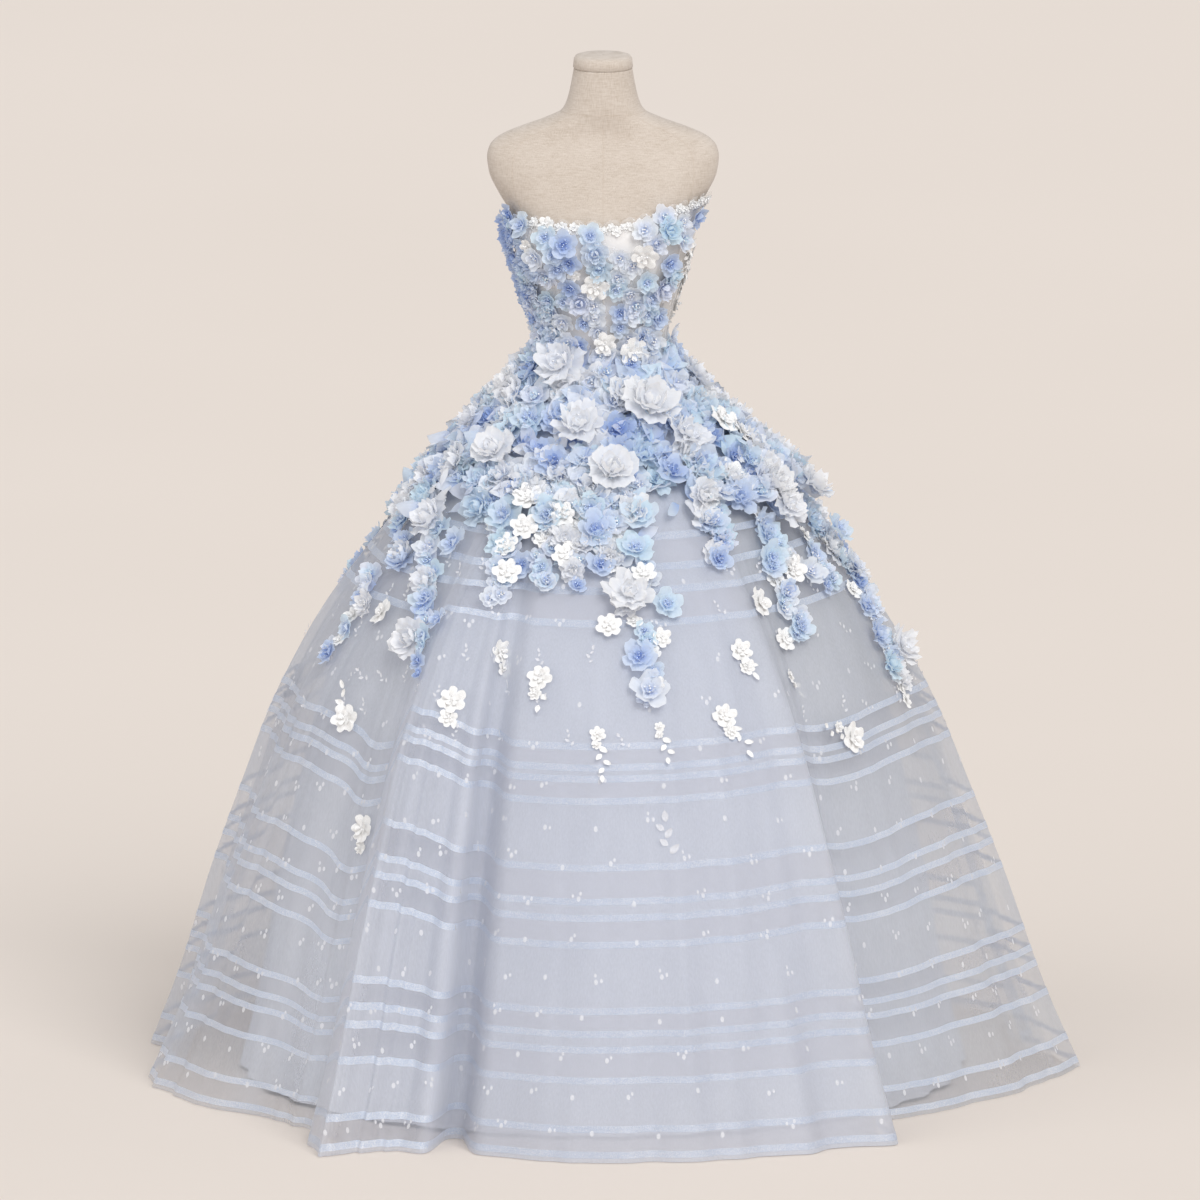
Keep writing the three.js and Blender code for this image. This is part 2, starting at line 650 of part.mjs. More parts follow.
// Keeps what is above a level, or below it, half a seam gap away from it.
const above = (solid, height) => solid.trimByPlane([0, 0, 1], height + SEAM_GAP / 2);
const below = (solid, height) => solid.trimByPlane([0, 0, -1], -(height - SEAM_GAP / 2));

function makeHipFlowers(skirtBlock) {
  const rows = SKIRT_LEVELS.filter((level) => level >= HIP_BAND.bottom && level <= HIP_BAND.top);
  const places = range(0, FOLDS.length, FOLDS.length * STEPS_PER_FOLD);
  const middle = Math.floor(places.length / 2);
  const halves = [places.slice(0, middle + 2), places.slice(middle)];
  halves[1].push(FOLDS.length + 1 / STEPS_PER_FOLD);
  const parts = halves.map((half) => backingSolid(half, () => rows, skirtPoint, skirtStep));
  HIP_RINGS.forEach((ring, row) => {
    for (let i = 0; i < ring.count; i += 1) {
      const angle = ring.offset + (360 * i) / ring.count - 180;
      const kind = (i + row) % 3 === 0 ? "rose" : "blossom";
      const radius = ring.radius * (1 + 0.12 * Math.sin(2.4 * i + row));
      const height = Math.max(ring.height + 8 * Math.sin(1.7 * i + 2 * row), HIP_BAND.bottom + STEM_RADIUS);
      const { pointAt, step } = byDegrees;
      parts.push(bloomSolid(kind, radius, pointAt, angle, height, step, i + row, SEATS.onBand));
    }
  });
  const all = above(below(wasm.Manifold.union(parts).subtract(skirtBlock), SKIRT_TOP - 0.5), TRAIL_CUT);
  const front = largestBody(all.trimByPlane([0, -1, 0], SEAM_GAP / 2));
  const back = largestBody(all.trimByPlane([0, 1, 0], SEAM_GAP / 2));
  add("hip_flowers_front", toGeometry(front), MATERIALS.petals);
  add("hip_flowers_back", toGeometry(back), MATERIALS.petals);
}

function makeTrails(skirtBlock) {
  for (const trail of TRAILS) {
    const place = foldIndex(trail.fold);
    const width = 1 / STEPS_PER_FOLD;
    const rows = SKIRT_LEVELS.filter((level) => level >= trail.bottom && level <= TRAIL_TOP);
    const parts = [backingSolid([place, place + width], () => rows, skirtPoint, skirtStep)];
    for (let i = 0; i < trail.blooms; i += 1) {
      const share = (i + 0.3) / trail.blooms;
      const height = TRAIL_CUT - 12 - (TRAIL_CUT - 12 - trail.bottom) * share;
      const radius = trail.radius * (1.1 - 0.3 * share);
      const kind = i % 2 ? "rose" : "blossom";
      const { pointAt, step } = byPlace;
      const middle = place + width / 2;
      parts.push(bloomSolid(kind, radius, pointAt, middle, height, step, i * 1.3, SEATS.onStrip));
    }
    const solid = below(wasm.Manifold.union(parts).subtract(skirtBlock), TRAIL_CUT);
    add(`trail_${trail.name}`, toGeometry(largestBody(solid)), MATERIALS.petals);
  }
}

function makeSkirtFlowers() {
  const columns = range(0, FOLDS.length, FOLDS.length * STEPS_PER_FOLD).slice(0, -1);
  const skirtBlock = keepOutSolid(columns, () => SKIRT_LEVELS, skirtPoint, skirtStep);
  makeHipFlowers(skirtBlock);
  makeTrails(skirtBlock);
  for (const motif of LACE_MOTIFS) {
    const { pointAt, step } = byDegrees;
    const { angle, height, radius } = motif;
    const solid = bloomSolid("lace", radius, pointAt, angle, height, step, 0.3, SEATS.onCloth);
    add(motif.name, toGeometry(largestBody(solid.subtract(skirtBlock))), MATERIALS.lace);
  }
}

// Flowers on the bodice, on a thin backing
function makeBodiceFlowers() {
  const columns = bodiceColumns.filter((angle) => angle >= BODICE_BACKING.from && angle <= BODICE_BACKING.to);
  const rowsAt = (angle) => bodiceRows(angle).slice(0, -1);
  const parts = [backingSolid(columns, rowsAt, bodicePoint, 0.5)];
  BODICE_BLOOMS.forEach((bloom, i) => {
    const { kind, radius, angle, height } = bloom;
    parts.push(bloomSolid(kind, radius, bodicePoint, angle, height, { u: 2, v: 6 }, i, SEATS.onBand));
  });
  const bodiceBlock = keepOutSolid(bodiceColumns, bodiceRows, bodicePoint, 0.5);
  const solid = above(wasm.Manifold.union(parts).subtract(bodiceBlock), WAIST_HEIGHT + 0.5);
  add("bodice_flowers", toGeometry(largestBody(solid)), MATERIALS.petals);
}

// The dress form and its stand
function makeForm() {
  const angles = range(0, 360, FORM_STEPS).slice(0, -1);
  const rings = FORM_SECTIONS.map((section) => angles.map((angle) => formPoint(angle, section.height)));
  add("form_torso", ringsGeometry(rings), MATERIALS.linen);
  const cap = CAP_RINGS.map(({ height, share }) =>
    angles.map((angle) => {
      const rim = formPoint(angle, FORM_TOP);
      return new THREE.Vector3(rim.x * share, rim.y * share, FORM_TOP + SEAM_GAP + height);
    }),
  );
  add("form_neck_cap", ringsGeometry(cap), MATERIALS.linen);
  const outline = [
    [0, 0],
    [STAND.baseRadius, 0],
    [STAND.baseRadius, STAND.baseRim],
    [STAND.collarRadius, STAND.baseHeight],
    [0, STAND.baseHeight],
  ];
  const base = new THREE.LatheGeometry(outline.map(([r, h]) => new THREE.Vector2(r, h)), BASE_SIDES);
  base.rotateX(Math.PI / 2);
  add("stand_base", base, MATERIALS.steel);
  const poleLength = FORM_BOTTOM - STAND.baseHeight - 2 * SEAM_GAP;
  const pole = new THREE.CylinderGeometry(STAND.poleRadius, STAND.poleRadius, poleLength, POLE_SIDES);
  pole.rotateX(Math.PI / 2);
  pole.translate(0, 0, STAND.baseHeight + SEAM_GAP + poleLength / 2);
  add("stand_pole", pole, MATERIALS.steel);
}

makeSkirt();
makeUnderskirt();
makeBodice();
makeLaceEdge();
makeSkirtFlowers();
makeBodiceFlowers();
makeForm();

export default gown;
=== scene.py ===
# The looks of a strapless ball gown of striped organza with applied cloth flowers, on a linen dress form.
# Metres, +Z up, the wearer's front towards -Y. Angles go round the gown from the centre front towards +X.
import json
import math
import random

import bpy
import numpy as np
from mathutils import Vector
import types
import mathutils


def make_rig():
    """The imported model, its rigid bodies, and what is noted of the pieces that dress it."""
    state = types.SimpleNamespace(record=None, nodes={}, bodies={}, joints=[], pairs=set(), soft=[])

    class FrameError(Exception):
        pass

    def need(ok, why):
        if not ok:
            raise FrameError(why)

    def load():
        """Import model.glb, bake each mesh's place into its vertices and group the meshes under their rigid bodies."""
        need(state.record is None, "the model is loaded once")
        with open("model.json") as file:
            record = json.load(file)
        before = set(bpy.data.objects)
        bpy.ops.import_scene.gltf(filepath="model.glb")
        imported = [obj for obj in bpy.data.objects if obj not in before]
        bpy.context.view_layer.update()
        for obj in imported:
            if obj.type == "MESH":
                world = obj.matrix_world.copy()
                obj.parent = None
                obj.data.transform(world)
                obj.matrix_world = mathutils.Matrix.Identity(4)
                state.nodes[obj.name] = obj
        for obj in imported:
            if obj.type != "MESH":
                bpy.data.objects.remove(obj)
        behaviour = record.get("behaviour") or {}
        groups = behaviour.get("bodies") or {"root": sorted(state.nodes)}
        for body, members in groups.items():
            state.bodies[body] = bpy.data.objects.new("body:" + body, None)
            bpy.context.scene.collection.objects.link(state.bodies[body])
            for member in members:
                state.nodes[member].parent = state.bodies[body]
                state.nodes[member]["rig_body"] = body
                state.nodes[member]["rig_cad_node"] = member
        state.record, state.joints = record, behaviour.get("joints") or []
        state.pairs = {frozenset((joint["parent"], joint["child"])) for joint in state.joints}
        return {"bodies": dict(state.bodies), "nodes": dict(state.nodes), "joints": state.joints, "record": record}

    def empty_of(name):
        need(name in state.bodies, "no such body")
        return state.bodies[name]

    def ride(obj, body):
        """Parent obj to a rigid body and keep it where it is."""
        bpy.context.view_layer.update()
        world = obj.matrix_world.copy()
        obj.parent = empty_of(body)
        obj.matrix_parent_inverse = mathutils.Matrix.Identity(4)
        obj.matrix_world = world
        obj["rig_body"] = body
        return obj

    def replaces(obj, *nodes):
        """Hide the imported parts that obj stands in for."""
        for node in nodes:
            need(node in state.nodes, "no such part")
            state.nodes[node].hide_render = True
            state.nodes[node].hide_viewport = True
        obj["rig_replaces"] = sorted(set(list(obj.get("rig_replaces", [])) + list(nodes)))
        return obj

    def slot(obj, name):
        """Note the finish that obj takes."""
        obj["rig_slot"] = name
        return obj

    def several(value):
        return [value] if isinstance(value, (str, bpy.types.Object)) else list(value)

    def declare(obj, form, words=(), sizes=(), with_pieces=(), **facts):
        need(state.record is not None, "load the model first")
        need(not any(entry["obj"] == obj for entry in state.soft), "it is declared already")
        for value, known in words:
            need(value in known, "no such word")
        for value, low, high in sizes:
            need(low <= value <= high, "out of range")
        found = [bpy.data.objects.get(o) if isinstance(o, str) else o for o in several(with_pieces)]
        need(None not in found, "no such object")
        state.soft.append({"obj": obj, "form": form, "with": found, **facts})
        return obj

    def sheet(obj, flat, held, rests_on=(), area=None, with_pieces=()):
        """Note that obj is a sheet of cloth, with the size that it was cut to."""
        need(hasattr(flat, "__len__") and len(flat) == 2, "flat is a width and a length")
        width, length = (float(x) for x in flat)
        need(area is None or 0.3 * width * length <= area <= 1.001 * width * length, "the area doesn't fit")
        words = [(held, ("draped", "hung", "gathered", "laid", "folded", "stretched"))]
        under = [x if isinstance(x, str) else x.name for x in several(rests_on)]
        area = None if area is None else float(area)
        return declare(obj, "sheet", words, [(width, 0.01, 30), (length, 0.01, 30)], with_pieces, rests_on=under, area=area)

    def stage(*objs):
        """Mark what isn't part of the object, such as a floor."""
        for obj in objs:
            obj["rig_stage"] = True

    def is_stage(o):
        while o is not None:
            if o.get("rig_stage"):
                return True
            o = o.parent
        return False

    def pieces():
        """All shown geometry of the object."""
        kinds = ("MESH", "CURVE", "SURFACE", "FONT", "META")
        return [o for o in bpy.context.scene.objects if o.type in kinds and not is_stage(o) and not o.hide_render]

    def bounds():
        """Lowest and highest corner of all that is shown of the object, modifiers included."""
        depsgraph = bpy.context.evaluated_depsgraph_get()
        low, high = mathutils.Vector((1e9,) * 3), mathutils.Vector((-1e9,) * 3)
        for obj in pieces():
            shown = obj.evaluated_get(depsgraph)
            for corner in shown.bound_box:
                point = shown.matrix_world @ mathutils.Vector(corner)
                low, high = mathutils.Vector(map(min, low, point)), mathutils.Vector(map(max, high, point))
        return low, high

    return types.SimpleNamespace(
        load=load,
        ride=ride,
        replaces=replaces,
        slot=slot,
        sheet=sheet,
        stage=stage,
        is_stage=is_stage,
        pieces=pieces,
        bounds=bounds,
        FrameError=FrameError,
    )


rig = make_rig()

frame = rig.load()
cad_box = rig.bounds()
random.seed(7)
rng = np.random.default_rng(7)


def table(columns, *rows):
    """Rows of values as dicts, by the names of their columns."""
    return [dict(zip(columns.split(), row)) for row in rows]


# Sizes shared with the solids
WAIST = 1.198
SKIRT_TOP = 1.1977
FOLD_TOP = 0.960
FOLD_POWER = 0.85
DEPTH_AT_WAIST = 0.815
ROUND_BELOW = 1.000
BODICE_OUT = 0.0065
FORM_TOP = 1.678
FORM_BOTTOM = 0.945

SKIRT_PROFILE = table(
    "height radius",
    (0.000, 0.765),
    (0.142, 0.708),
    (0.327, 0.648),
    (0.477, 0.594),
    (0.611, 0.544),
    (0.712, 0.494),
    (0.790, 0.447),
    (0.863, 0.394),
    (0.950, 0.325),
    (1.030, 0.256),
    (1.114, 0.180),
    (1.165, 0.133),
    (SKIRT_TOP, 0.1075),
)

# The folds in order round the skirt: the angle at the hip and at the hem, and how far out the hem stands
FOLDS = table(
    "hip hem out",
    (-176, -176, -0.038),
    (-158, -160, 0.024),
    (-140, -143, -0.046),
    (-122, -127, 0.018),
    (-108, -116, -0.040),
    (-92, -106, 0.002),
    (-78, -93, -0.048),
    (-62, -79, -0.003),
    (-55, -66, -0.018),
    (-49, -53, -0.066),
    (-43, -44, -0.058),
    (-36, -33, 0.098),
    (-29, -28, 0.022),
    (-22, -23, -0.088),
    (-15, -15, -0.014),
    (-2, -3, 0.017),
    (16, 15, 0.019),
    (34, 35, 0.010),
    (43, 45, -0.118),
    (58, 60, -0.084),
    (72, 74, -0.036),
    (86, 88, 0.011),
    (102, 102, -0.042),
    (118, 118, 0.020),
    (135, 135, -0.048),
    (152, 152, 0.022),
    (167, 167, -0.036),
)

# Where a fold's edge is sharp and rolls over the cloth beside it: its place among the fold lines, how far out
# it stands, and how far it reaches over towards greater angles
FOLD_ROLLS = table(
    "place width out over",
    (8.6, 0.30, 0.010, -0.012),
    (10.75, 0.35, 0.000, 0.018),
    (12.60, 0.20, 0.050, 0.034),
    (13.20, 0.40, -0.045, 0.000),
    (17.10, 0.20, 0.022, 0.022),
    (20.80, 0.30, 0.010, 0.014),
)

# The cloth's ripples between its folds: how many go round, where they start, how they wander, and their size
RIPPLES = table(
    "count start wander size",
    (41, 2.0, 1, 0.0060),
    (67, 0.7, -2, 0.0048),
    (113, 1.1, 3, 0.0022),
)

# How far the stripes hang above or below their level at the folds where the cloth is pulled askew
STRIPE_SLANTS = table(
    "place shift",
    (6.0, 0.000),
    (7.5, 0.004),
    (8.6, -0.012),
    (9.6, -0.045),
    (10.3, -0.030),
    (10.8, 0.062),
    (12.0, 0.040),
    (12.8, 0.014),
    (14.0, 0.000),
    (16.0, 0.004),
    (17.2, 0.014),
    (18.2, -0.012),
    (20.0, 0.010),
    (22.0, 0.000),
)
SLANT_TOP = 0.90

# The fold edges that show as light lines, where the cloth is doubled: their place among the fold lines
PRESSED_FOLDS = table(
    "place width share",
    (8.8, 0.16, 0.6),
    (10.85, 0.22, 0.9),
    (11.45, 0.10, 0.5),
    (12.62, 0.10, 1.2),
    (16.75, 0.55, 0.45),
    (17.15, 0.12, 0.9),
    (20.9, 0.25, 0.5),
)

# How closely the layers under it back the organza, which makes its windows and ribbons show less, how much
# painted shade darkens its colour towards the skirt's sides, and how much clearer it is towards the hem
BACKED = table(
    "place share grey clear",
    (0, 0.35, 0.3, 0.2),
    (5.5, 0.35, 0.4, 0.5),
    (7.5, 0.35, 0.5, 1.0),
    (9.5, 0.35, 0.7, 1.0),
    (10.7, 0.75, 0.3, 0.5),
    (11.4, 0.05, 0.0, 0.3),
    (12.5, 0.0, 0.0, 0.1),
    (13.2, 0.55, 0.1, 0.0),
    (14.5, 0.95, 0.0, 0.0),
    (16.6, 0.90, 0.0, 0.0),
    (17.6, 0.30, 0.8, 0.1),
    (20.5, 0.20, 1.0, 0.6),
    (22.5, 0.35, 0.4, 0.7),
    (27, 0.35, 0.3, 0.2),
)

# The woven windows of the organza, from the waist down, each between two satin ribbon lines
WINDOWS = table(
    "top bottom",
    (0.948, 0.915),
    (0.871, 0.834),
    (0.640, 0.618),
    (0.590, 0.566),
    (0.452, 0.410),
    (0.374, 0.343),
    (0.229, 0.204),
    (0.169, 0.132),
    (0.047, 0.0185),
)
RIBBON = 0.0105
RIBBON_OUT = 0.0006
SKIRT_LENGTH = 1.42

# The skirt's meshes: how finely each layer is divided, and how the layer under the organza follows it
LOWEST_ROW = 0.0015
SKIRT_COLUMNS = len(FOLDS) * 24
MIDDLE_COLUMNS = len(FOLDS) * 12
LINING_COLUMNS = 180
ROW_SPACING = 0.016
UNDER_ROW_SPACING = 0.03
MIDDLE = dict(inside=0.024, crests=0.3, waves=0.4)

# The dress form: half its width, and how far it reaches in front and behind
FORM_SECTIONS = table(
    "height side front back",
    (0.945, 0.150, 0.104, 0.110),
    (1.010, 0.149, 0.103, 0.110),
    (1.100, 0.127, 0.093, 0.098),
    (1.198, 0.098, 0.079, 0.079),
    (1.243, 0.101, 0.082, 0.078),
    (1.300, 0.116, 0.094, 0.084),
    (1.355, 0.133, 0.106, 0.089),
    (1.400, 0.144, 0.110, 0.091),
    (1.435, 0.152, 0.106, 0.092),
    (1.470, 0.172, 0.094, 0.090),
    (1.505, 0.188, 0.080, 0.083),
    (1.530, 0.191, 0.070, 0.074),
    (1.547, 0.187, 0.062, 0.066),
    (1.559, 0.177, 0.056, 0.061),
    (1.569, 0.160, 0.052, 0.057),
    (1.579, 0.135, 0.050, 0.055),
    (1.592, 0.098, 0.050, 0.054),
    (1.606, 0.069, 0.051, 0.053),
    (1.625, 0.059, 0.050, 0.052),
    (1.650, 0.053, 0.048, 0.050),
    (1.678, 0.048, 0.046, 0.047),
)
SECTION_SQUARENESS = 2.25
BUST = dict(angle=33, height=1.392, out=0.015, angle_spread=19, height_spread=0.044)
FORM_COLUMNS = 144
SHOULDERS_FROM = 1.50

# The neck cap's rings: how high each lies, and its size as a share of the neck's
CAP_RINGS = table(
    "height share",
    (0.0000, 0.985),
    (0.0020, 1.03),
    (0.0150, 1.0),
    (0.0190, 0.94),
    (0.0210, 0.8),
    (0.0212, 0.02),
)
CAP_GAP = 0.0003

# The form's seams: the angle of each at its foot and at its top
FORM_SEAMS = ((0, 0), (180, 180), (-58, -44), (58, 44), (-128, -138), (128, 138))
SEAM_HEIGHTS = (1.40, 1.600)
NECK_SEAM = 1.6065
THREAD_RADIUS = 0.0003

NECKLINE = table(
    "angle height",
    (-180, 1.385),
    (-125, 1.392),
    (-98, 1.424),
    (-80, 1.441),
    (-48, 1.437),
    (-20, 1.432),
    (0, 1.431),
    (22, 1.441),
    (45, 1.457),
    (75, 1.466),
    (98, 1.440),
    (125, 1.392),
    (180, 1.385),
)

# The bodice's bones: the angle at the waist and at the top, and half the casing's width
BONES = table(
    "waist top half",
    (0, 0, 0.0030),
    (22, 20, 0.0030),
    (36, 38, 0.0030),
    (54, 55, 0.0030),
    (72, 74, 0.0030),
    (90, 92, 0.0030),
    (122, 122, 0.0030),
    (150, 148, 0.0030),
    (180, 180, 0.0060),
    (-150, -148, 0.0030),
    (-122, -122, 0.0030),
    (-90, -92, 0.0030),
    (-60, -60, 0.0030),
    (-36, -38, 0.0030),
)
BODICE_DEGREE = 0.0021
BODICE_CUT = (0.95, 0.26)
NECKLINE_CUT = (0.60, 0.024)

# The photograph: its scale, where the floor's centre line falls in it, and how the camera stands
PIXELS_PER_METRE = 606.0
CENTRE_X = 603.0
FLOOR_Y = 1065.0
PITCH = 11.5
CAMERA_DISTANCE = 80.0
PHOTO_SIDE = 1200
# The heights between which a pixel's place is looked for
SKIRT_REACH = (0.30, 1.185)
BODICE_REACH = (1.20, 1.455)
SENSOR = 36.0
FLOOR_SIZE = 40.0
LIGHTS = table(
    "name azimuth elevation strength spread",
    ("key", 25, 43, 1.90, 34),
    ("fill", -52, 30, 0.55, 60),
)

# The nodes that the scene's finer pieces stand for
GORES = [
    "skirt_front",
    "skirt_right_front",
    "skirt_right_back",
    "skirt_back_right",
    "skirt_back_left",
    "skirt_left_back",
    "skirt_left_side",
    "skirt_left_front",
]
UNDERSKIRTS = [f"underskirt_{number}" for number in range(1, 7)]
BODICE_PANELS = [
    "bodice_front",
    "bodice_side_right",
    "bodice_back_right",
    "bodice_back_left",
    "bodice_side_left",
]


# Smooth tables
def column(rows, name):
    return np.array([row[name] for row in rows], dtype=float)


def smooth(rows, key, value, x):
    """A smooth value at x from a table's two columns, without overshoot."""
    keys, values = column(rows, key), column(rows, value)
    x = np.clip(np.asarray(x, dtype=float), keys[0], keys[-1])
    slope = np.diff(values) / np.diff(keys)
    before, after = slope[:-1], slope[1:]
    same = before * after > 0
    total = np.where(same, before + after, 1)
    inner = np.where(same, 2 * before * after / total, 0)
    tangent = np.concatenate([slope[:1], inner, slope[-1:]])
    row = np.clip(np.searchsorted(keys, x, side="right") - 1, 0, len(keys) - 2)
    span = keys[row + 1] - keys[row]
    t = (x - keys[row]) / span
    stay = 2 * t**3 - 3 * t**2 + 1
    leave = (t**3 - 2 * t**2 + t) * span * tangent[row]
    arrive = (t**3 - t**2) * span * tangent[row + 1]
    return stay * values[row] + (1 - stay) * values[row + 1] + leave + arrive


# The skirt's surface
HIP = column(FOLDS, "hip")
HEM = column(FOLDS, "hem")
OUT = column(FOLDS, "out")


def fold_share(height):
    return np.maximum(0, 1 - height / FOLD_TOP) ** FOLD_POWER


def on_round(angle, radius, height):
    """A point of the skirt's round, which narrows from front to back towards the waist."""
    t = np.clip((height - ROUND_BELOW) / (WAIST - ROUND_BELOW), 0, 1)
    depth = 1 - (1 - DEPTH_AT_WAIST) * t
    a = np.radians(angle)
    return np.stack([radius * np.sin(a), -radius * np.cos(a) * depth, height + 0 * a], axis=-1)


def fold_angle(place, height):
    count = len(FOLDS)
    index = np.floor(place).astype(int)
    share = place - index
    drop = np.clip(1 - height / FOLD_TOP, 0, 1)

    def angle_of(i):
        return HIP[i % count] + (HEM[i % count] - HIP[i % count]) * drop + 360 * (i // count)

    return angle_of(index) * (1 - share) + angle_of(index + 1) * share


def fine_waves(place, height):
    """Small uneven ripples of the cloth between its large folds."""
    wander = 0.35 * np.sin(height * 5.1 + place * 0.7) + 0.2 * np.sin(height * 9.3 - place * 1.3)
    turn = 2 * np.pi * place / len(FOLDS)
    total = 0
    for row in RIPPLES:
        total = total + row["size"] * np.sin(row["count"] * turn + row["start"] + row["wander"] * wander)
    swell = 0.55 + 0.45 * np.sin(5 * turn + 0.9)
    return total * fold_share(height) * swell


def fold_rolls(place, height):
    """How far out, and how far round, the cloth rolls over at the sharp edges of its folds."""
    share = fold_share(height)
    out, over = 0.0, 0.0
    for row in FOLD_ROLLS:
        bump = share * np.exp(-(((place - row["place"]) / row["width"]) ** 2))
        out = out + row["out"] * bump
        over = over + row["over"] * bump
    return out, over


def skirt_point(place, height, inside=0.0, crests=1.0, waves=1.0):
    """A point of the skirt. place counts the fold lines round it, inside is how far in a layer lies, crests
    is how much of each outward fold it follows, and waves is how much of the ripples."""
    place, height = np.broadcast_arrays(np.asarray(place, float), np.asarray(height, float))
    count = len(FOLDS)
    index = np.floor(place).astype(int)
    share = place - index
    ease = share * share * (3 - 2 * share)
    outs = np.where(OUT > 0, OUT * crests, OUT)
    out = outs[index % count] * (1 - ease) + outs[(index + 1) % count] * ease
    radius = smooth(SKIRT_PROFILE, "height", "radius", height) + out * fold_share(height)
    rolled_out, rolled_over = fold_rolls(place % count, height)
    rolled_out = np.where(rolled_out > 0, waves * rolled_out, rolled_out)
    radius = radius + waves * fine_waves(place, height) + rolled_out - inside
    angle = fold_angle(place, height) + waves * np.degrees(rolled_over / radius)
    return on_round(angle, radius, height)


def place_of(angle, height):
    """The place between fold lines at an angle and height."""
    places = np.linspace(0, len(FOLDS), 28 * len(FOLDS))
    angles = fold_angle(places, np.full_like(places, height))
    wanted = angle + 360 if angle < angles[0] else angle
    return float(np.interp(wanted, angles, places))


def slanted(place, height):
    """The true height of a stripe's point whose level height is given."""
    shift = smooth(STRIPE_SLANTS, "place", "shift", place % len(FOLDS))
    return height + shift * np.sin(np.pi * np.clip(height / SLANT_TOP, 0, 1)) ** 1.2


# The form's surface, and the bodice's over it
def form_point(angle, height, out=0.0):
    """The dress form's surface, or one that lies outside it."""
    angle, height = np.broadcast_arrays(np.asarray(angle, float), np.asarray(height, float))
    a = np.radians(angle)
    power = 2 / SECTION_SQUARENESS
    sine, cosine = np.sin(a), np.cos(a)
    side, front, back = (smooth(FORM_SECTIONS, "height", key, height) for key in ("side", "front", "back"))
    depth = np.where(cosine > 0, front, back)
    across = np.sign(sine) * np.abs(sine) ** power * side
    along = -np.sign(cosine) * np.abs(cosine) ** power * depth
    around = (angle + 180) % 360 - 180
    from_bust = (np.abs(around) - BUST["angle"]) / BUST["angle_spread"]
    over_bust = (height - BUST["height"]) / BUST["height_spread"]
    bust = BUST["out"] * np.exp(-(from_bust**2) - over_bust**2)
    point = np.stack([across + bust * sine, along - bust * cosine, height + 0 * a], axis=-1)
    if np.ndim(out) == 0 and out == 0:
        return point
    step = form_point(angle + 0.5, height) - form_point(angle - 0.5, height)
    normal = np.stack([step[..., 1], -step[..., 0], 0 * a], axis=-1)
    normal /= np.linalg.norm(normal, axis=-1, keepdims=True)
    return point + normal * np.asarray(out)[..., None]


def bodice_point(angle, height, out=0.0):
    return form_point(angle, height, BODICE_OUT + out)


def neckline(angle):
    return smooth(NECKLINE, "angle", "height", (np.asarray(angle, float) + 180) % 360 - 180)


# Meshes
def add_object(name, data):
    made = bpy.data.objects.new(name, data)
    bpy.context.scene.collection.objects.link(made)
    return made


def new_object(name, points, faces, mat, **attributes):
    """A mesh object from arrays. faces is a list of groups. Each attribute has one number for each point."""
    mesh = bpy.data.meshes.new(name)
    points = np.asarray(points, dtype=np.float32)
    faces = [np.asarray(group, dtype=np.int32) for group in faces if len(group)]
    loops = np.concatenate([group.ravel() for group in faces])
    sizes = np.concatenate([np.full(len(group), group.shape[1]) for group in faces])
    starts = np.concatenate([[0], np.cumsum(sizes)[:-1]])
    mesh.vertices.add(len(points))
    mesh.vertices.foreach_set("co", points.ravel())
    mesh.loops.add(len(loops))
    mesh.loops.foreach_set("vertex_index", loops)
    mesh.polygons.add(len(sizes))
    mesh.polygons.foreach_set("loop_start", starts.astype(np.int32))
    mesh.polygons.foreach_set("loop_total", sizes.astype(np.int32))
    for key, values in attributes.items():
        layer = mesh.attributes.new(key, "FLOAT", "POINT")
        layer.data.foreach_set("value", np.asarray(values, dtype=np.float32))
    mesh.update(calc_edges=True)
    mesh.validate()
    mesh.polygons.foreach_set("use_smooth", np.full(len(mesh.polygons), True))
    mesh.materials.append(mat)
    return add_object(name, mesh)


def grid_faces(rows, columns, closed=False):
    """The quads of a grid of points stored row by row, facing out for columns that run counter-clockwise."""
    i, j = np.meshgrid(np.arange(rows - 1), np.arange(columns - (0 if closed else 1)), indexing="ij")
    i, j = i.ravel(), j.ravel()
    k = (j + 1) % columns
    return np.stack([i * columns + j, i * columns + k, (i + 1) * columns + k, (i + 1) * columns + j], axis=1)


def grid_object(name, grids, mat, closed=False, **attributes):
    """One mesh of grids of points. A closed grid's last column joins its first."""
    points = [grid.reshape(-1, 3) for grid in grids]
    starts = np.cumsum([0, *(len(part) for part in points)])
    faces = [grid_faces(*grid.shape[:2], closed) + start for grid, start in zip(grids, starts)]
    return new_object(name, np.concatenate(points), faces, mat, **attributes)


def area_of(piece):
    return sum(face.area for face in piece.data.polygons)


def finish_piece(piece, slot, replaces=()):
    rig.ride(piece, "root")
    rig.slot(piece, slot)
    if replaces:
        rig.replaces(piece, *replaces)
    return piece


# Materials
def material(name, roughness, colour=(0.8, 0.8, 0.8), **inputs):
    """A material, its node tree and its shader, with the inputs named by words joined by _."""
    made = bpy.data.materials.new(name)
    made.use_nodes = True
    shader = made.node_tree.nodes["Principled BSDF"]
    shader.inputs["Roughness"].default_value = roughness
    shader.inputs["Base Color"].default_value = (*colour, 1)
    for key, value in inputs.items():
        shader.inputs[key.replace("_", " ")].default_value = value
    return made, made.node_tree, shader


def node(tree, kind, **inputs):
    made = tree.nodes.new(kind)
    for key, value in inputs.items():
        made.inputs[key].default_value = value
    return made


def feed(tree, value, socket):
    """Sets a socket to a number, or links another node's output to it."""
    if isinstance(value, (int, float)):
        socket.default_value = value
    else:
        tree.links.new(value, socket)


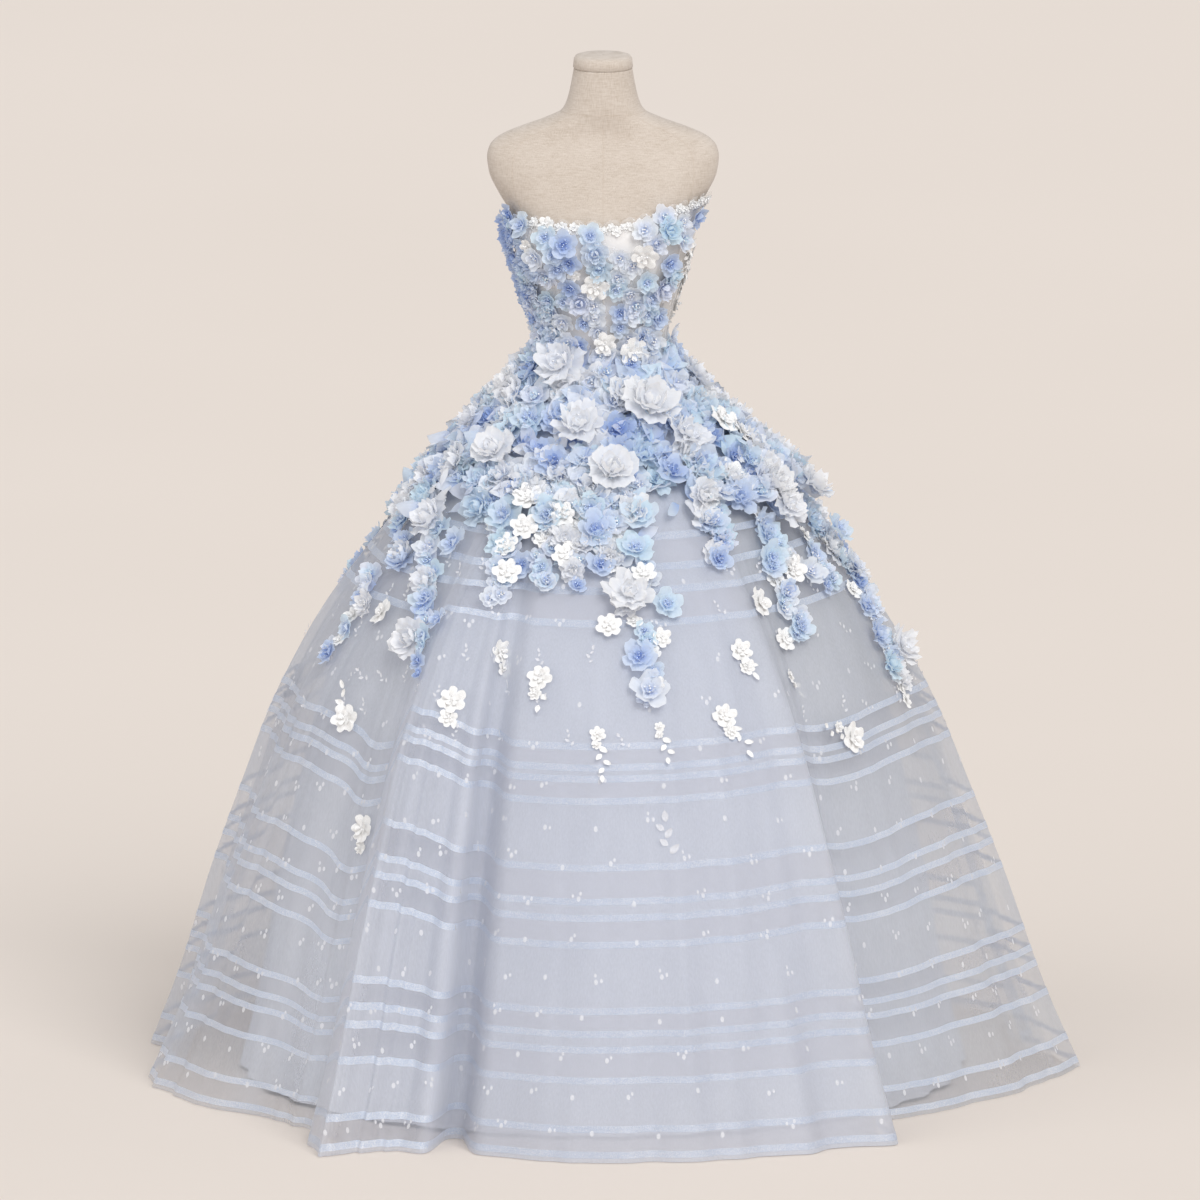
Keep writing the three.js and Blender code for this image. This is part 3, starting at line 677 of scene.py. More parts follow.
def ramp(tree, source, stops):
    """A colour ramp over source. stops are (position, colour)."""
    made = tree.nodes.new("ShaderNodeValToRGB")
    elements = made.color_ramp.elements
    while len(elements) < len(stops):
        elements.new(0.5)
    for element, (position, colour) in zip(elements, stops):
        element.position = position
        element.color = (*colour, 1)
    tree.links.new(source, made.inputs["Fac"])
    return made.outputs["Color"]


def paint(tree, shader, source, *stops):
    tree.links.new(ramp(tree, source, stops), shader.inputs["Base Color"])


def attribute(tree, name):
    made = tree.nodes.new("ShaderNodeAttribute")
    made.attribute_name = name
    return made.outputs["Fac"]


def own_coordinates(tree):
    return tree.nodes.new("ShaderNodeTexCoord").outputs["Object"]


def noise(tree, scale, detail, stretch=None):
    """A noise in the object's own coordinates, in metres. Stretch scales its axes."""
    coordinates = own_coordinates(tree)
    if stretch:
        mapping = node(tree, "ShaderNodeMapping", Scale=stretch)
        tree.links.new(coordinates, mapping.inputs["Vector"])
        coordinates = mapping.outputs["Vector"]
    made = node(tree, "ShaderNodeTexNoise", Scale=scale, Detail=detail)
    tree.links.new(coordinates, made.inputs["Vector"])
    return made.outputs["Fac"]


def cells(tree, scale, feature="F1"):
    """How far a point is from the middle of its cell, or from the cell's edge."""
    made = node(tree, "ShaderNodeTexVoronoi", Scale=scale)
    made.feature = feature
    tree.links.new(own_coordinates(tree), made.inputs["Vector"])
    return made.outputs["Distance"]


def math_node(tree, operation, a, b):
    made = tree.nodes.new("ShaderNodeMath")
    made.operation = operation
    feed(tree, a, made.inputs[0])
    feed(tree, b, made.inputs[1])
    return made.outputs[0]


def weighted(tree, start, *parts):
    """start and the sum of the parts, each times its share."""
    total = start
    for value, share in parts:
        total = math_node(tree, "ADD", total, math_node(tree, "MULTIPLY", value, share))
    return total


def add_bump(tree, shader, height, strength, distance):
    bump = node(tree, "ShaderNodeBump", Strength=strength, Distance=distance)
    tree.links.new(height, bump.inputs["Height"])
    tree.links.new(bump.outputs["Normal"], shader.inputs["Normal"])


def mix_shaders(tree, share, first, second):
    """The surface becomes a mix of two shaders, with this share of the second."""
    mix = tree.nodes.new("ShaderNodeMixShader")
    feed(tree, share, mix.inputs["Fac"])
    tree.links.new(first.outputs[0], mix.inputs[1])
    tree.links.new(second.outputs[0], mix.inputs[2])
    tree.links.new(mix.outputs[0], tree.nodes["Material Output"].inputs["Surface"])
    return mix


def make_glow(tree, shader, glow, glow_colour):
    """Lets light glow through thin cloth. glow is the share of its light that comes through from behind."""
    through = node(tree, "ShaderNodeBsdfTranslucent", Color=(*glow_colour, 1))
    return through, mix_shaders(tree, glow, shader, through)


def make_sheer(tree, shader, opacity, glow, glow_colour):
    """Turns a cloth's shader into a thin sheer one: light glows through it, and what is behind it shows.
    opacity is a number or a socket."""
    _, cloth = make_glow(tree, shader, glow, glow_colour)
    mix_shaders(tree, opacity, tree.nodes.new("ShaderNodeBsdfTransparent"), cloth)


def scaled(colour, share):
    return tuple(min(1.0, part * share) for part in colour)


# Painted shade: the organza's colour is multiplied by this where the skirt's sides turn away from the light
SIDE_SHADE_TINT = (0.925, 0.905, 0.84)


def organza_material(name, colour, low, high, backed=0.0, clearer=0.0):
    """Sheer woven organza, milky in uneven streaks. low and high are its least and greatest opacity.
    Where the cloth is pressed into a fold it is doubled, so it is denser there. backed is how much
    denser it looks where other layers lie close behind it, and clearer how much less dense where it is
    marked as clear."""
    made, tree, shader = material(name, 0.55, colour, Sheen_Weight=0.25)
    opacity = weighted(
        tree,
        low,
        (noise(tree, 9.0, 3.0, (1.0, 1.0, 0.35)), 0.7 * (high - low)),
        (noise(tree, 420.0, 1.0, (1.0, 1.0, 0.12)), 0.3 * (high - low)),
        (attribute(tree, "press"), 0.30),
        (attribute(tree, "backed"), backed),
        (attribute(tree, "clear"), -clearer),
    )
    # Painted shade darkens the colour towards the skirt's sides, by the side share that the mesh carries
    side_shaded_colour = tuple(part * share for part, share in zip(colour, SIDE_SHADE_TINT))
    paint(tree, shader, attribute(tree, "grey"), (0.0, colour), (1.0, side_shaded_colour))
    make_sheer(tree, shader, opacity, 0.45, colour)
    return made


def ribbon_material():
    """Satin ribbon woven in with a glittering thread, whose glints are painted as white flecks. It shows less where
    the cloth is backed.
    """
    made, tree, shader = material("satin_ribbon", 0.35, Sheen_Weight=0.3)
    sparkle = noise(tree, 700.0, 0.0)
    # Painted glints: where the fine noise peaks, the satin's colour is lit to near white
    painted_glint_mask = weighted(tree, 0.0, (sparkle, 0.8), (noise(tree, 16.0, 2.0), 0.25))
    satin, light, painted_glint = (0.58, 0.655, 0.79), (0.70, 0.765, 0.87), (0.97, 0.98, 1.0)
    paint(tree, shader, painted_glint_mask, (0.38, satin), (0.56, light), (0.64, painted_glint))
    add_bump(tree, shader, sparkle, 0.3, 0.0004)
    opacity = weighted(tree, 0.84, (attribute(tree, "backed"), -0.36))
    make_sheer(tree, shader, opacity, 0.35, (0.68, 0.75, 0.88))
    return made


def petal_material(name, stops, glow, heart):
    """Thin petals, coloured by each flower's own tone and darker by heart towards the middle."""
    made, tree, shader = material(name, 0.6, Sheen_Weight=0.3)
    dye = tree.nodes.new("ShaderNodeMix")
    dye.data_type = "RGBA"
    dye.blend_type = "MULTIPLY"
    dye.inputs["Factor"].default_value = 1.0
    shade = [(0.0, heart), (0.50, (0.92, 0.94, 0.98)), (1.0, (1, 1, 1))]
    tree.links.new(ramp(tree, attribute(tree, "tone"), stops), dye.inputs[6])
    tree.links.new(ramp(tree, attribute(tree, "reach"), shade), dye.inputs[7])
    add_bump(tree, shader, noise(tree, 260.0, 2.0), 0.12, 0.0006)
    through, _ = make_glow(tree, shader, glow, (0.8, 0.85, 0.95))
    tree.links.new(dye.outputs[2], shader.inputs["Base Color"])
    tree.links.new(dye.outputs[2], through.inputs["Color"])
    return made


def lace_material():
    """Corded cotton lace: thick ivory threads with a fine ground between them."""
    made, tree, shader = material("ivory_lace", 0.75, Sheen_Weight=0.2)
    threads = cells(tree, 420.0, "DISTANCE_TO_EDGE")
    paint(tree, shader, threads, (0.0, (0.91, 0.905, 0.895)), (0.25, (0.74, 0.74, 0.735)))
    add_bump(tree, shader, threads, -0.5, 0.0008)
    return made


def net_material(name, colour, low, high, scale):
    """Lace net: a pattern of closed motifs on an open ground."""
    made, tree, shader = material(name, 0.8, colour)
    curls = noise(tree, scale * 1.7, 3.0)
    pattern = weighted(tree, cells(tree, scale), (curls, 0.6))
    closed = ramp(tree, pattern, [(0.42, (high,) * 3), (0.56, (low,) * 3)])
    add_bump(tree, shader, closed, 0.35, 0.0006)
    make_sheer(tree, shader, closed, 0.3, colour)
    return made


def plain_cloth(name, colour, grain_scale, contrast):
    made, tree, shader = material(name, 0.85)
    grain = noise(tree, grain_scale, 3.0)
    paint(tree, shader, grain, (0.3, scaled(colour, 1 - contrast)), (0.7, scaled(colour, 1 + contrast)))
    add_bump(tree, shader, grain, 0.15, 0.0005)
    return made


def embroidery_material():
    """White machine embroidery, thin enough for the cloth under it to show between its threads."""
    made, tree, shader = material("embroidery_white", 0.5)
    threads = noise(tree, 900.0, 1.0)
    paint(tree, shader, threads, (0.3, (0.84, 0.85, 0.88)), (0.7, (0.92, 0.92, 0.94)))
    add_bump(tree, shader, threads, 0.3, 0.0004)
    make_sheer(tree, shader, 0.62, 0.2, (0.9, 0.9, 0.92))
    return made


def linen_material():
    """Plain-woven linen with slubs in both directions."""
    made, tree, shader = material("form_linen", 0.95, Sheen_Weight=0.15)
    across = noise(tree, 300.0, 3.0, (0.25, 0.25, 3.0))
    upward = noise(tree, 300.0, 3.0, (3.0, 3.0, 0.2))
    weave = weighted(tree, 0.0, (across, 0.5), (upward, 0.5))
    mixed = weighted(tree, 0.0, (weave, 0.8), (noise(tree, 14.0, 2.0), 0.2))
    dark, even, light = (0.445, 0.374, 0.303), (0.561, 0.490, 0.423), (0.641, 0.574, 0.507)
    paint(tree, shader, mixed, (0.34, dark), (0.50, even), (0.66, light))
    add_bump(tree, shader, weave, 0.35, 0.0006)
    return made


def bead_material(name, colour, metallic, roughness):
    made, tree, shader = material(name, roughness, Metallic=metallic, Coat_Weight=0.6)
    paint(tree, shader, noise(tree, 120.0, 1.0), (0.35, scaled(colour, 0.82)), (0.65, scaled(colour, 1.12)))
    return made


BLUES = [
    (0.00, (0.42, 0.55, 0.84)),
    (0.22, (0.70, 0.79, 0.95)),
    (0.45, (0.82, 0.89, 0.98)),
    (0.62, (0.80, 0.93, 0.99)),
    (0.80, (0.87, 0.90, 0.98)),
    (1.00, (0.94, 0.965, 0.99)),
]
WHITES = [(0.0, (0.95, 0.96, 0.985)), (0.5, (0.98, 0.98, 0.985)), (1.0, (0.99, 0.985, 0.98))]

MATERIALS = dict(
    organza=organza_material("organza_milky", (0.735, 0.762, 0.832), 0.34, 0.76, 0.15, 0.26),
    window=organza_material("organza_window", (0.72, 0.735, 0.80), 0.18, 0.36, 0.46, 0.10),
    middle=organza_material("tulle_layer", (0.74, 0.76, 0.82), 0.30, 0.62, 0.0, 0.34),
    lining=plain_cloth("lining_net", (0.70, 0.725, 0.785), 30.0, 0.04),
    ribbon=ribbon_material(),
    blue=petal_material("petals_blue", BLUES, 0.48, (0.53, 0.64, 0.88)),
    white=petal_material("petals_white", WHITES, 0.42, (0.96, 0.97, 0.985)),
    lace=lace_material(),
    edge_lace=net_material("lace_edge", (0.90, 0.89, 0.88), 0.30, 0.98, 190.0),
    bodice=net_material("bodice_lace", (0.93, 0.915, 0.905), 0.55, 0.97, 75.0),
    bodice_base=plain_cloth("bodice_base", (0.90, 0.885, 0.875), 160.0, 0.03),
    bodice_side=plain_cloth("bodice_side_net", (0.66, 0.63, 0.60), 160.0, 0.05),
    linen=linen_material(),
    thread=plain_cloth("seam_thread", (0.56, 0.48, 0.40), 300.0, 0.1),
    bead=bead_material("beads_silver_blue", (0.50, 0.60, 0.82), 0.3, 0.15),
    pearl=bead_material("beads_pearl", (0.90, 0.90, 0.91), 0.0, 0.25),
    embroidery=embroidery_material(),
)


# The skirt: the outer organza, its ribbons, the layer under it and the lining
def skirt_rows(spacing, edges=()):
    """Heights from the hem to the waist, with a row at each edge and none further apart than spacing."""
    marks = sorted({LOWEST_ROW, SKIRT_TOP, *edges})
    heights = []
    for low, high in zip(marks[:-1], marks[1:]):
        steps = max(1, math.ceil((high - low) / spacing))
        heights.extend(low + (high - low) * i / steps for i in range(steps))
    return np.array([*heights, marks[-1]])


def skirt_places(columns):
    return np.arange(columns) * len(FOLDS) / columns


def pressed(place, height):
    """How strongly a fold's edge is pressed there. The edges fade out towards the hips."""
    total = 0
    for row in PRESSED_FOLDS:
        total = total + row["share"] * np.exp(-(((place - row["place"]) / row["width"]) ** 2))
    return total * np.clip((0.80 - height) / 0.30, 0, 1)


def skirt_layer(name, mat, columns, heights, inside=0.0, crests=1.0, waves=1.0):
    places = skirt_places(columns)[None, :]
    heights = heights[:, None]
    outer = not inside
    inset = inside * np.clip((WAIST - heights) / WAIST, 0, 1) ** 0.6
    levels = slanted(places, heights) if outer else heights
    flat = np.zeros((len(heights), columns))
    low_down = np.clip((0.80 - heights) / 0.50, 0, 1)
    shares = dict(
        press=pressed(places, heights) if outer else flat,
        backed=smooth(BACKED, "place", "share", places) + flat,
        # The side share paints shade into the organza's colour towards the skirt's sides
        grey=smooth(BACKED, "place", "grey", places) + flat,
        clear=smooth(BACKED, "place", "clear", places) * low_down,
    )
    points = skirt_point(places, levels, inset, crests, waves)
    return grid_object(name, [points], mat, True, **{key: share.ravel() for key, share in shares.items()})


def declare_skirt(piece, columns, with_pieces=()):
    """The cut of a skirt layer: as wide as its hem, its mesh's first row, and of the skirt's length."""
    hem = np.array([piece.data.vertices[i].co for i in range(columns)])
    around = np.linalg.norm(hem - np.roll(hem, -1, axis=0), axis=1).sum()
    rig.sheet(
        piece,
        flat=(around, SKIRT_LENGTH),
        held="gathered",
        rests_on=["form_torso"],
        area=area_of(piece),
        with_pieces=with_pieces,
    )


def make_skirt():
    heights = skirt_rows(ROW_SPACING, [row[key] for row in WINDOWS for key in ("top", "bottom")])
    skirt = skirt_layer("skirt_organza", MATERIALS["organza"], SKIRT_COLUMNS, heights)
    skirt.data.materials.append(MATERIALS["window"])
    middles = np.repeat((heights[1:] + heights[:-1]) / 2, SKIRT_COLUMNS)
    in_window = np.zeros(len(middles), dtype=int)
    for row in WINDOWS:
        in_window[(middles < row["top"]) & (middles > row["bottom"])] = 1
    skirt.data.polygons.foreach_set("material_index", in_window)
    return finish_piece(skirt, "skirt_organza", GORES)


def make_ribbons():
    """Satin ribbons along both edges of each window. The lowest one is cut off at the hem."""
    places = skirt_places(SKIRT_COLUMNS)
    bands = [(row["top"], row["top"] + RIBBON) for row in WINDOWS]
    bands += [(max(0.0012, row["bottom"] - RIBBON), row["bottom"]) for row in WINDOWS]
    grids = []
    for low, high in bands:
        heights = np.linspace(low, high, 3)[:, None]
        grids.append(skirt_point(places[None, :], slanted(places[None, :], heights), -RIBBON_OUT))
    backing = np.tile(smooth(BACKED, "place", "share", places), 3 * len(bands))
    ribbons = grid_object("skirt_ribbons", grids, MATERIALS["ribbon"], True, backed=backing)
    return finish_piece(ribbons, "skirt_organza")


def make_under_layers():
    heights = skirt_rows(UNDER_ROW_SPACING)
    middle = skirt_layer("skirt_middle_layer", MATERIALS["middle"], MIDDLE_COLUMNS, heights, **MIDDLE)
    finish_piece(middle, "skirt_organza")
    declare_skirt(middle, MIDDLE_COLUMNS)
    angles = np.arange(LINING_COLUMNS)[None, :] * 360.0 / LINING_COLUMNS
    heights = skirt_rows(UNDER_ROW_SPACING, [0.006])[1:, None]
    drop = 1 - heights / SKIRT_TOP
    ease = 0.003 + 0.165 * drop**1.15
    ripple = 0.006 * np.sin(np.radians(angles) * 36 + 3 * np.sin(heights * 4)) * drop
    radius = smooth(SKIRT_PROFILE, "height", "radius", heights) - ease
    points = on_round(angles, radius + ripple - 0.0008, heights + 0 * angles)
    lining = grid_object("underskirt_lining", [points], MATERIALS["lining"], True)
    finish_piece(lining, "underskirt_net", UNDERSKIRTS)
    declare_skirt(lining, LINING_COLUMNS)


# Flowers: each is a stack of discs with petals for lobes, cut and gathered as cloth flowers are. A disc is
# shaped as part of a bowl, by an angle of bowl degrees from its middle to its rim. ruffle waves the rim,
# crimp is how fast it waves, tilt bends single petals, fray makes their rims ragged, and a small width makes
# them broad. Radii and heights are shares of the flower's own radius.
DISC = "lobes radius notch bowl ruffle tilt rings per_lobe height shade width crimp fray"
DISCS = dict(
    blossom=table(
        DISC,
        (5, 1.00, 0.45, 36, 0.06, 0.5, 4, 7, 0.02, 0.10, 0.45, 6.0, 0.05),
        (5, 0.76, 0.45, 70, 0.07, 0.3, 4, 7, 0.07, 0.00, 0.45, 6.0, 0.06),
        (5, 0.48, 0.50, 110, 0.07, 0.2, 3, 6, 0.11, -0.14, 0.45, 4.2, 0.06),
    ),
    rose=table(
        DISC,
        (5, 1.00, 0.58, 34, 0.09, 0.5, 4, 9, 0.02, 0.0, 0.38, 8.0, 0.07),
        (5, 0.92, 0.58, 64, 0.09, 0.4, 4, 8, 0.07, 0.0, 0.38, 8.0, 0.07),
        (4, 0.84, 0.62, 102, 0.08, 0.3, 4, 8, 0.10, 0.0, 0.38, 7.0, 0.07),
        (3, 0.68, 0.64, 150, 0.07, 0.2, 4, 8, 0.12, 0.0, 0.38, 7.0, 0.06),
    ),
    loose_rose=table(
        DISC,
        (6, 1.05, 0.42, 30, 0.10, 0.6, 4, 7, 0.02, 0.0, 0.62, 7.0, 0.10),
        (6, 0.90, 0.42, 58, 0.10, 0.5, 4, 7, 0.06, 0.0, 0.62, 7.0, 0.10),
        (5, 0.74, 0.46, 88, 0.10, 0.4, 4, 7, 0.09, 0.0, 0.62, 7.0, 0.10),
        (4, 0.56, 0.50, 128, 0.08, 0.3, 4, 7, 0.11, 0.0, 0.55, 6.0, 0.08),
    ),
    lace=table(
        DISC,
        (6, 1.00, 0.46, 16, 0.04, 0.3, 3, 7, 0.02, 0.0, 0.50, 4.2, 0.0),
        (5, 0.58, 0.45, 40, 0.04, 0.2, 3, 6, 0.09, 0.0, 0.50, 4.2, 0.0),
    ),
    bud=table(DISC, (1, 1.0, 0.9, 1.0, 0.0, 0.0, 1, 7, 0.0, 0.0, 0.45, 4.2, 0.0)),
)


def any_turn():
    return rng.uniform(0, 2 * math.pi)


def lobed_disc(lobes, radius, notch, bowl, ruffle, tilt, rings, per_lobe, height, shade, width, crimp, fray):
    """A disc of cloth cut into petals and shaped as part of a bowl."""
    segments = lobes * per_lobe
    turn = any_turn()
    angle = np.arange(segments) * 2 * np.pi / segments
    lobe = np.floor(angle * lobes / (2 * np.pi) + 0.5).astype(int) % lobes
    across = ((angle * lobes / (2 * np.pi) + 0.5) % 1) * 2 - 1
    size = rng.uniform(0.88, 1.1, lobes)[lobe]
    bend = rng.uniform(-tilt, tilt, lobes)[lobe]
    wave = rng.uniform(0, 2 * np.pi, lobes)[lobe]
    ragged = fray * rng.uniform(-1, 1, segments)
    outline = notch + (1 - notch) * np.maximum(0, 1 - np.abs(across) ** 2.6) ** width
    full = math.radians(bowl)
    points, reach = [np.array([[0.0, 0.0, height]])], [np.array([0.0])]
    for ring in range(1, rings + 1):
        share = ring / rings
        length = share * size * outline ** (share**0.7) * (1 + ragged * share**4)
        curl = full * length * (1 + bend)
        r = radius * length * np.sinc(curl / np.pi / 2) * np.cos(curl / 2)
        rise = length * np.sinc(curl / np.pi / 2) * np.sin(curl / 2)
        rise = rise + ruffle * share**2 * np.sin(across * crimp + wave) - 0.10 * across**2 * share**2
        rise = rise + 0.07 * across * share
        x, y = r * np.cos(angle + turn), r * np.sin(angle + turn)
        points.append(np.stack([x, y, height + radius * rise], axis=1))
        reach.append(np.full(segments, share))
    first = np.arange(segments)
    return dict(
        points=np.concatenate(points),
        quads=grid_faces(rings, segments, closed=True)[:, ::-1] + 1,
        triangles=np.stack([0 * first, 1 + first, 1 + (first + 1) % segments], axis=1),
        reach=np.concatenate(reach),
        shade=np.full(1 + rings * segments, shade),
    )


def join_shapes(shapes):
    starts = np.cumsum([0, *(len(shape["points"]) for shape in shapes)])
    joined = {key: np.concatenate([shape[key] for shape in shapes]) for key in ("points", "reach", "shade")}
    for key in ("quads", "triangles"):
        joined[key] = np.concatenate([shape[key] + start for shape, start in zip(shapes, starts)])
    return joined


def flower_shape(kind):
    return join_shapes([lobed_disc(**row) for row in DISCS[kind]])


def petal_shape():
    """One long sheer petal of length 1, curling up."""
    rows, columns = 7, 5
    along = np.linspace(0, 1, rows)[:, None] + np.zeros((1, columns))
    across = np.linspace(-1, 1, columns)[None, :]
    half = 0.30 * np.sin(np.pi * np.clip(along, 0.02, 0.995) ** 0.8) ** 0.8
    z = 0.30 * along**2 + 0.25 * half * across**2 + 0.05 * np.sin(7 * along + 2 * across)
    return dict(
        points=np.stack([along, half * across, z], axis=-1).reshape(-1, 3),
        quads=grid_faces(rows, columns)[:, ::-1],
        triangles=np.zeros((0, 3), int),
        reach=along.ravel(),
        shade=np.zeros(rows * columns),
    )


def ball_shape():
    """A small bead of radius 1, with twelve corners."""
    phi = (1 + 5**0.5) / 2
    corners = [(0, s, t * phi) for s in (-1, 1) for t in (-1, 1)]
    corners += [(s, t * phi, 0) for s in (-1, 1) for t in (-1, 1)]
    corners += [(s * phi, 0, t) for s in (-1, 1) for t in (-1, 1)]
    points = np.array(corners, float)
    longest_edge = 2.001
    faces = []
    for a in range(12):
        for b in range(a + 1, 12):
            for c in range(b + 1, 12):
                sides = [np.linalg.norm(points[p] - points[q]) for p, q in ((a, b), (b, c), (a, c))]
                if max(sides) < longest_edge:
                    out = np.dot(np.cross(points[b] - points[a], points[c] - points[a]), points[a])
                    faces.append((a, b, c) if out > 0 else (a, c, b))
    points /= np.linalg.norm(points[0])
    return dict(
        points=points,
        quads=np.zeros((0, 4), int),
        triangles=np.array(faces),
        reach=np.ones(12),
        shade=np.zeros(12),
    )


SHAPES = dict(
    blossom=[flower_shape("blossom") for _ in range(10)],
    rose=[flower_shape("rose") for _ in range(4)] + [flower_shape("loose_rose") for _ in range(5)],
    lace=[flower_shape("lace") for _ in range(5)],
    petal=[petal_shape()],
    bead=[ball_shape()],
)

# What is placed on the gown is collected in heaps, and each heap becomes one mesh
HEAPS = {key: [] for key in ("blue_bodice", "blue_front", "blue_back", "white", "lace", "bead", "pearl")}


def blue_heap(origin):
    if origin[2] > WAIST:
        return HEAPS["blue_bodice"]
    return HEAPS["blue_front" if origin[1] < 0 else "blue_back"]


def put(heap, shape, basis, origin, scale, tone):
    points = shape["points"] @ (basis.T * scale) + origin
    heap.append({**shape, "points": points, "shade": shape["shade"] + tone})


def build_heap(heap, name, mat, slot, replaces=()):
    total = join_shapes(heap)
    faces = [total["quads"], total["triangles"]]
    tone = np.clip(total["shade"], 0, 1)
    piece = new_object(name, total["points"], faces, mat, tone=tone, reach=total["reach"])
    return finish_piece(piece, slot, replaces)


# Frames on the cloth: a point, and a matrix whose columns run across the cloth, up it and out of it
def frame_at(point_at, u, v, du, dv):
    here = point_at(u, v)
    across = point_at(u + du, v) - point_at(u - du, v)
    upward = point_at(u, v + dv) - point_at(u, v - dv)
    across /= np.linalg.norm(across)
    out = np.cross(across, upward)
    out /= np.linalg.norm(out)
    return here, np.stack([across, np.cross(out, across), out], axis=1)


def turned(basis, spin, lean, lean_way):
    """The basis turned about its own normal by spin and then leaned over by an angle."""
    c, s = math.cos(spin), math.sin(spin)
    about = np.array([[c, -s, 0], [s, c, 0], [0, 0, 1]])
    x, y = math.cos(lean_way), math.sin(lean_way)
    cross = np.array([[0, 0, y], [0, 0, -x], [-y, x, 0]])
    tip = np.eye(3) + math.sin(lean) * cross + (1 - math.cos(lean)) * (cross @ cross)
    return basis @ tip @ about


def on_cloth(basis, degrees, distance, up=0.0):
    """How far away a point lies that is distance away over the cloth, and up from it."""
    along = math.radians(degrees)
    return basis @ np.array([distance * math.cos(along), distance * math.sin(along), up])


def skirt_at(angle, height):
    return skirt_point(place_of(angle, height), height)


def skirt_frame(angle, height):
    return frame_at(skirt_at, angle, height, 1.2, 0.008)


def bodice_frame(angle, height):
    return frame_at(bodice_point, angle, height, 1.5, 0.006)


def wrapped(angle):
    return angle if angle < 180 else angle - 360


def pixel_height(point):
    """How far down the photograph a point falls."""
    pitch = math.radians(PITCH)
    return FLOOR_Y - PIXELS_PER_METRE * (point[1] * math.sin(pitch) + point[2] * math.cos(pitch))


def at_pixel(x, y, point_at, low, high):
    """The angle and height on the front of a surface that show at a pixel of the photograph. A pixel beside
    the surface is drawn in until it meets the surface's edge."""
    wanted = (x - CENTRE_X) / PIXELS_PER_METRE
    angle, height = 0.0, (low + high) / 2
    most = 0.985
    for _ in range(40):
        side = point_at(90.0 if wanted > 0 else -90.0, height)
        here = point_at(angle, height)
        radius = max(1e-6, float(np.hypot(here[0], here[1])))
        sine = max(-most, min(most, wanted / radius))
        angle = 0.5 * angle + 0.5 * math.degrees(math.asin(sine))
        missed = pixel_height(point_at(angle, height)) - y
        height = float(np.clip(height + missed / PIXELS_PER_METRE * 0.9, low, high))
        if float(np.hypot(side[0], side[1])) < abs(wanted):
            wanted *= 0.995
    return angle, height


def skirt_spot(x, y):
    """The frame on the skirt that shows at a pixel."""
    return skirt_frame(*at_pixel(x, y, skirt_at, *SKIRT_REACH))


def bodice_spot(x, y):
    """The angle and height on the bodice that show at a pixel."""
    return at_pixel(x, y, bodice_point, *BODICE_REACH)


# What each kind of flower is: its shape and heap, the range of its tone, and the beads at its heart
FLOWERS = table(
    "kind shape heap low high beads size bead spread",
    ("blossom", "blossom", "blue", 0.12, 0.72, 6, 0.0019, "bead", 1.0),
    ("dark", "blossom", "blue", 0.0, 0.2, 6, 0.0019, "bead", 1.0),
    ("pale", "blossom", "blue", 0.72, 1.0, 5, 0.0019, "pearl", 1.0),
    ("rose", "rose", "white", 0.2, 1.0, 4, 0.0018, "pearl", 1.2),
    ("blue_rose", "rose", "blue", 0.3, 0.9, 5, 0.0018, "bead", 1.0),
    ("lace", "lace", "lace", 0.5, 0.5, 4, 0.0017, "pearl", 1.0),
    ("petal", "petal", "blue", 0.55, 1.0, 0, 0.0, "bead", 1.0),
)
FLOWERS = {row["kind"]: row for row in FLOWERS}
RADII = dict(blossom=0.033, pale=0.033, rose=0.038, dark=0.029, blue_rose=0.035, petal=0.045, lace=0.024)

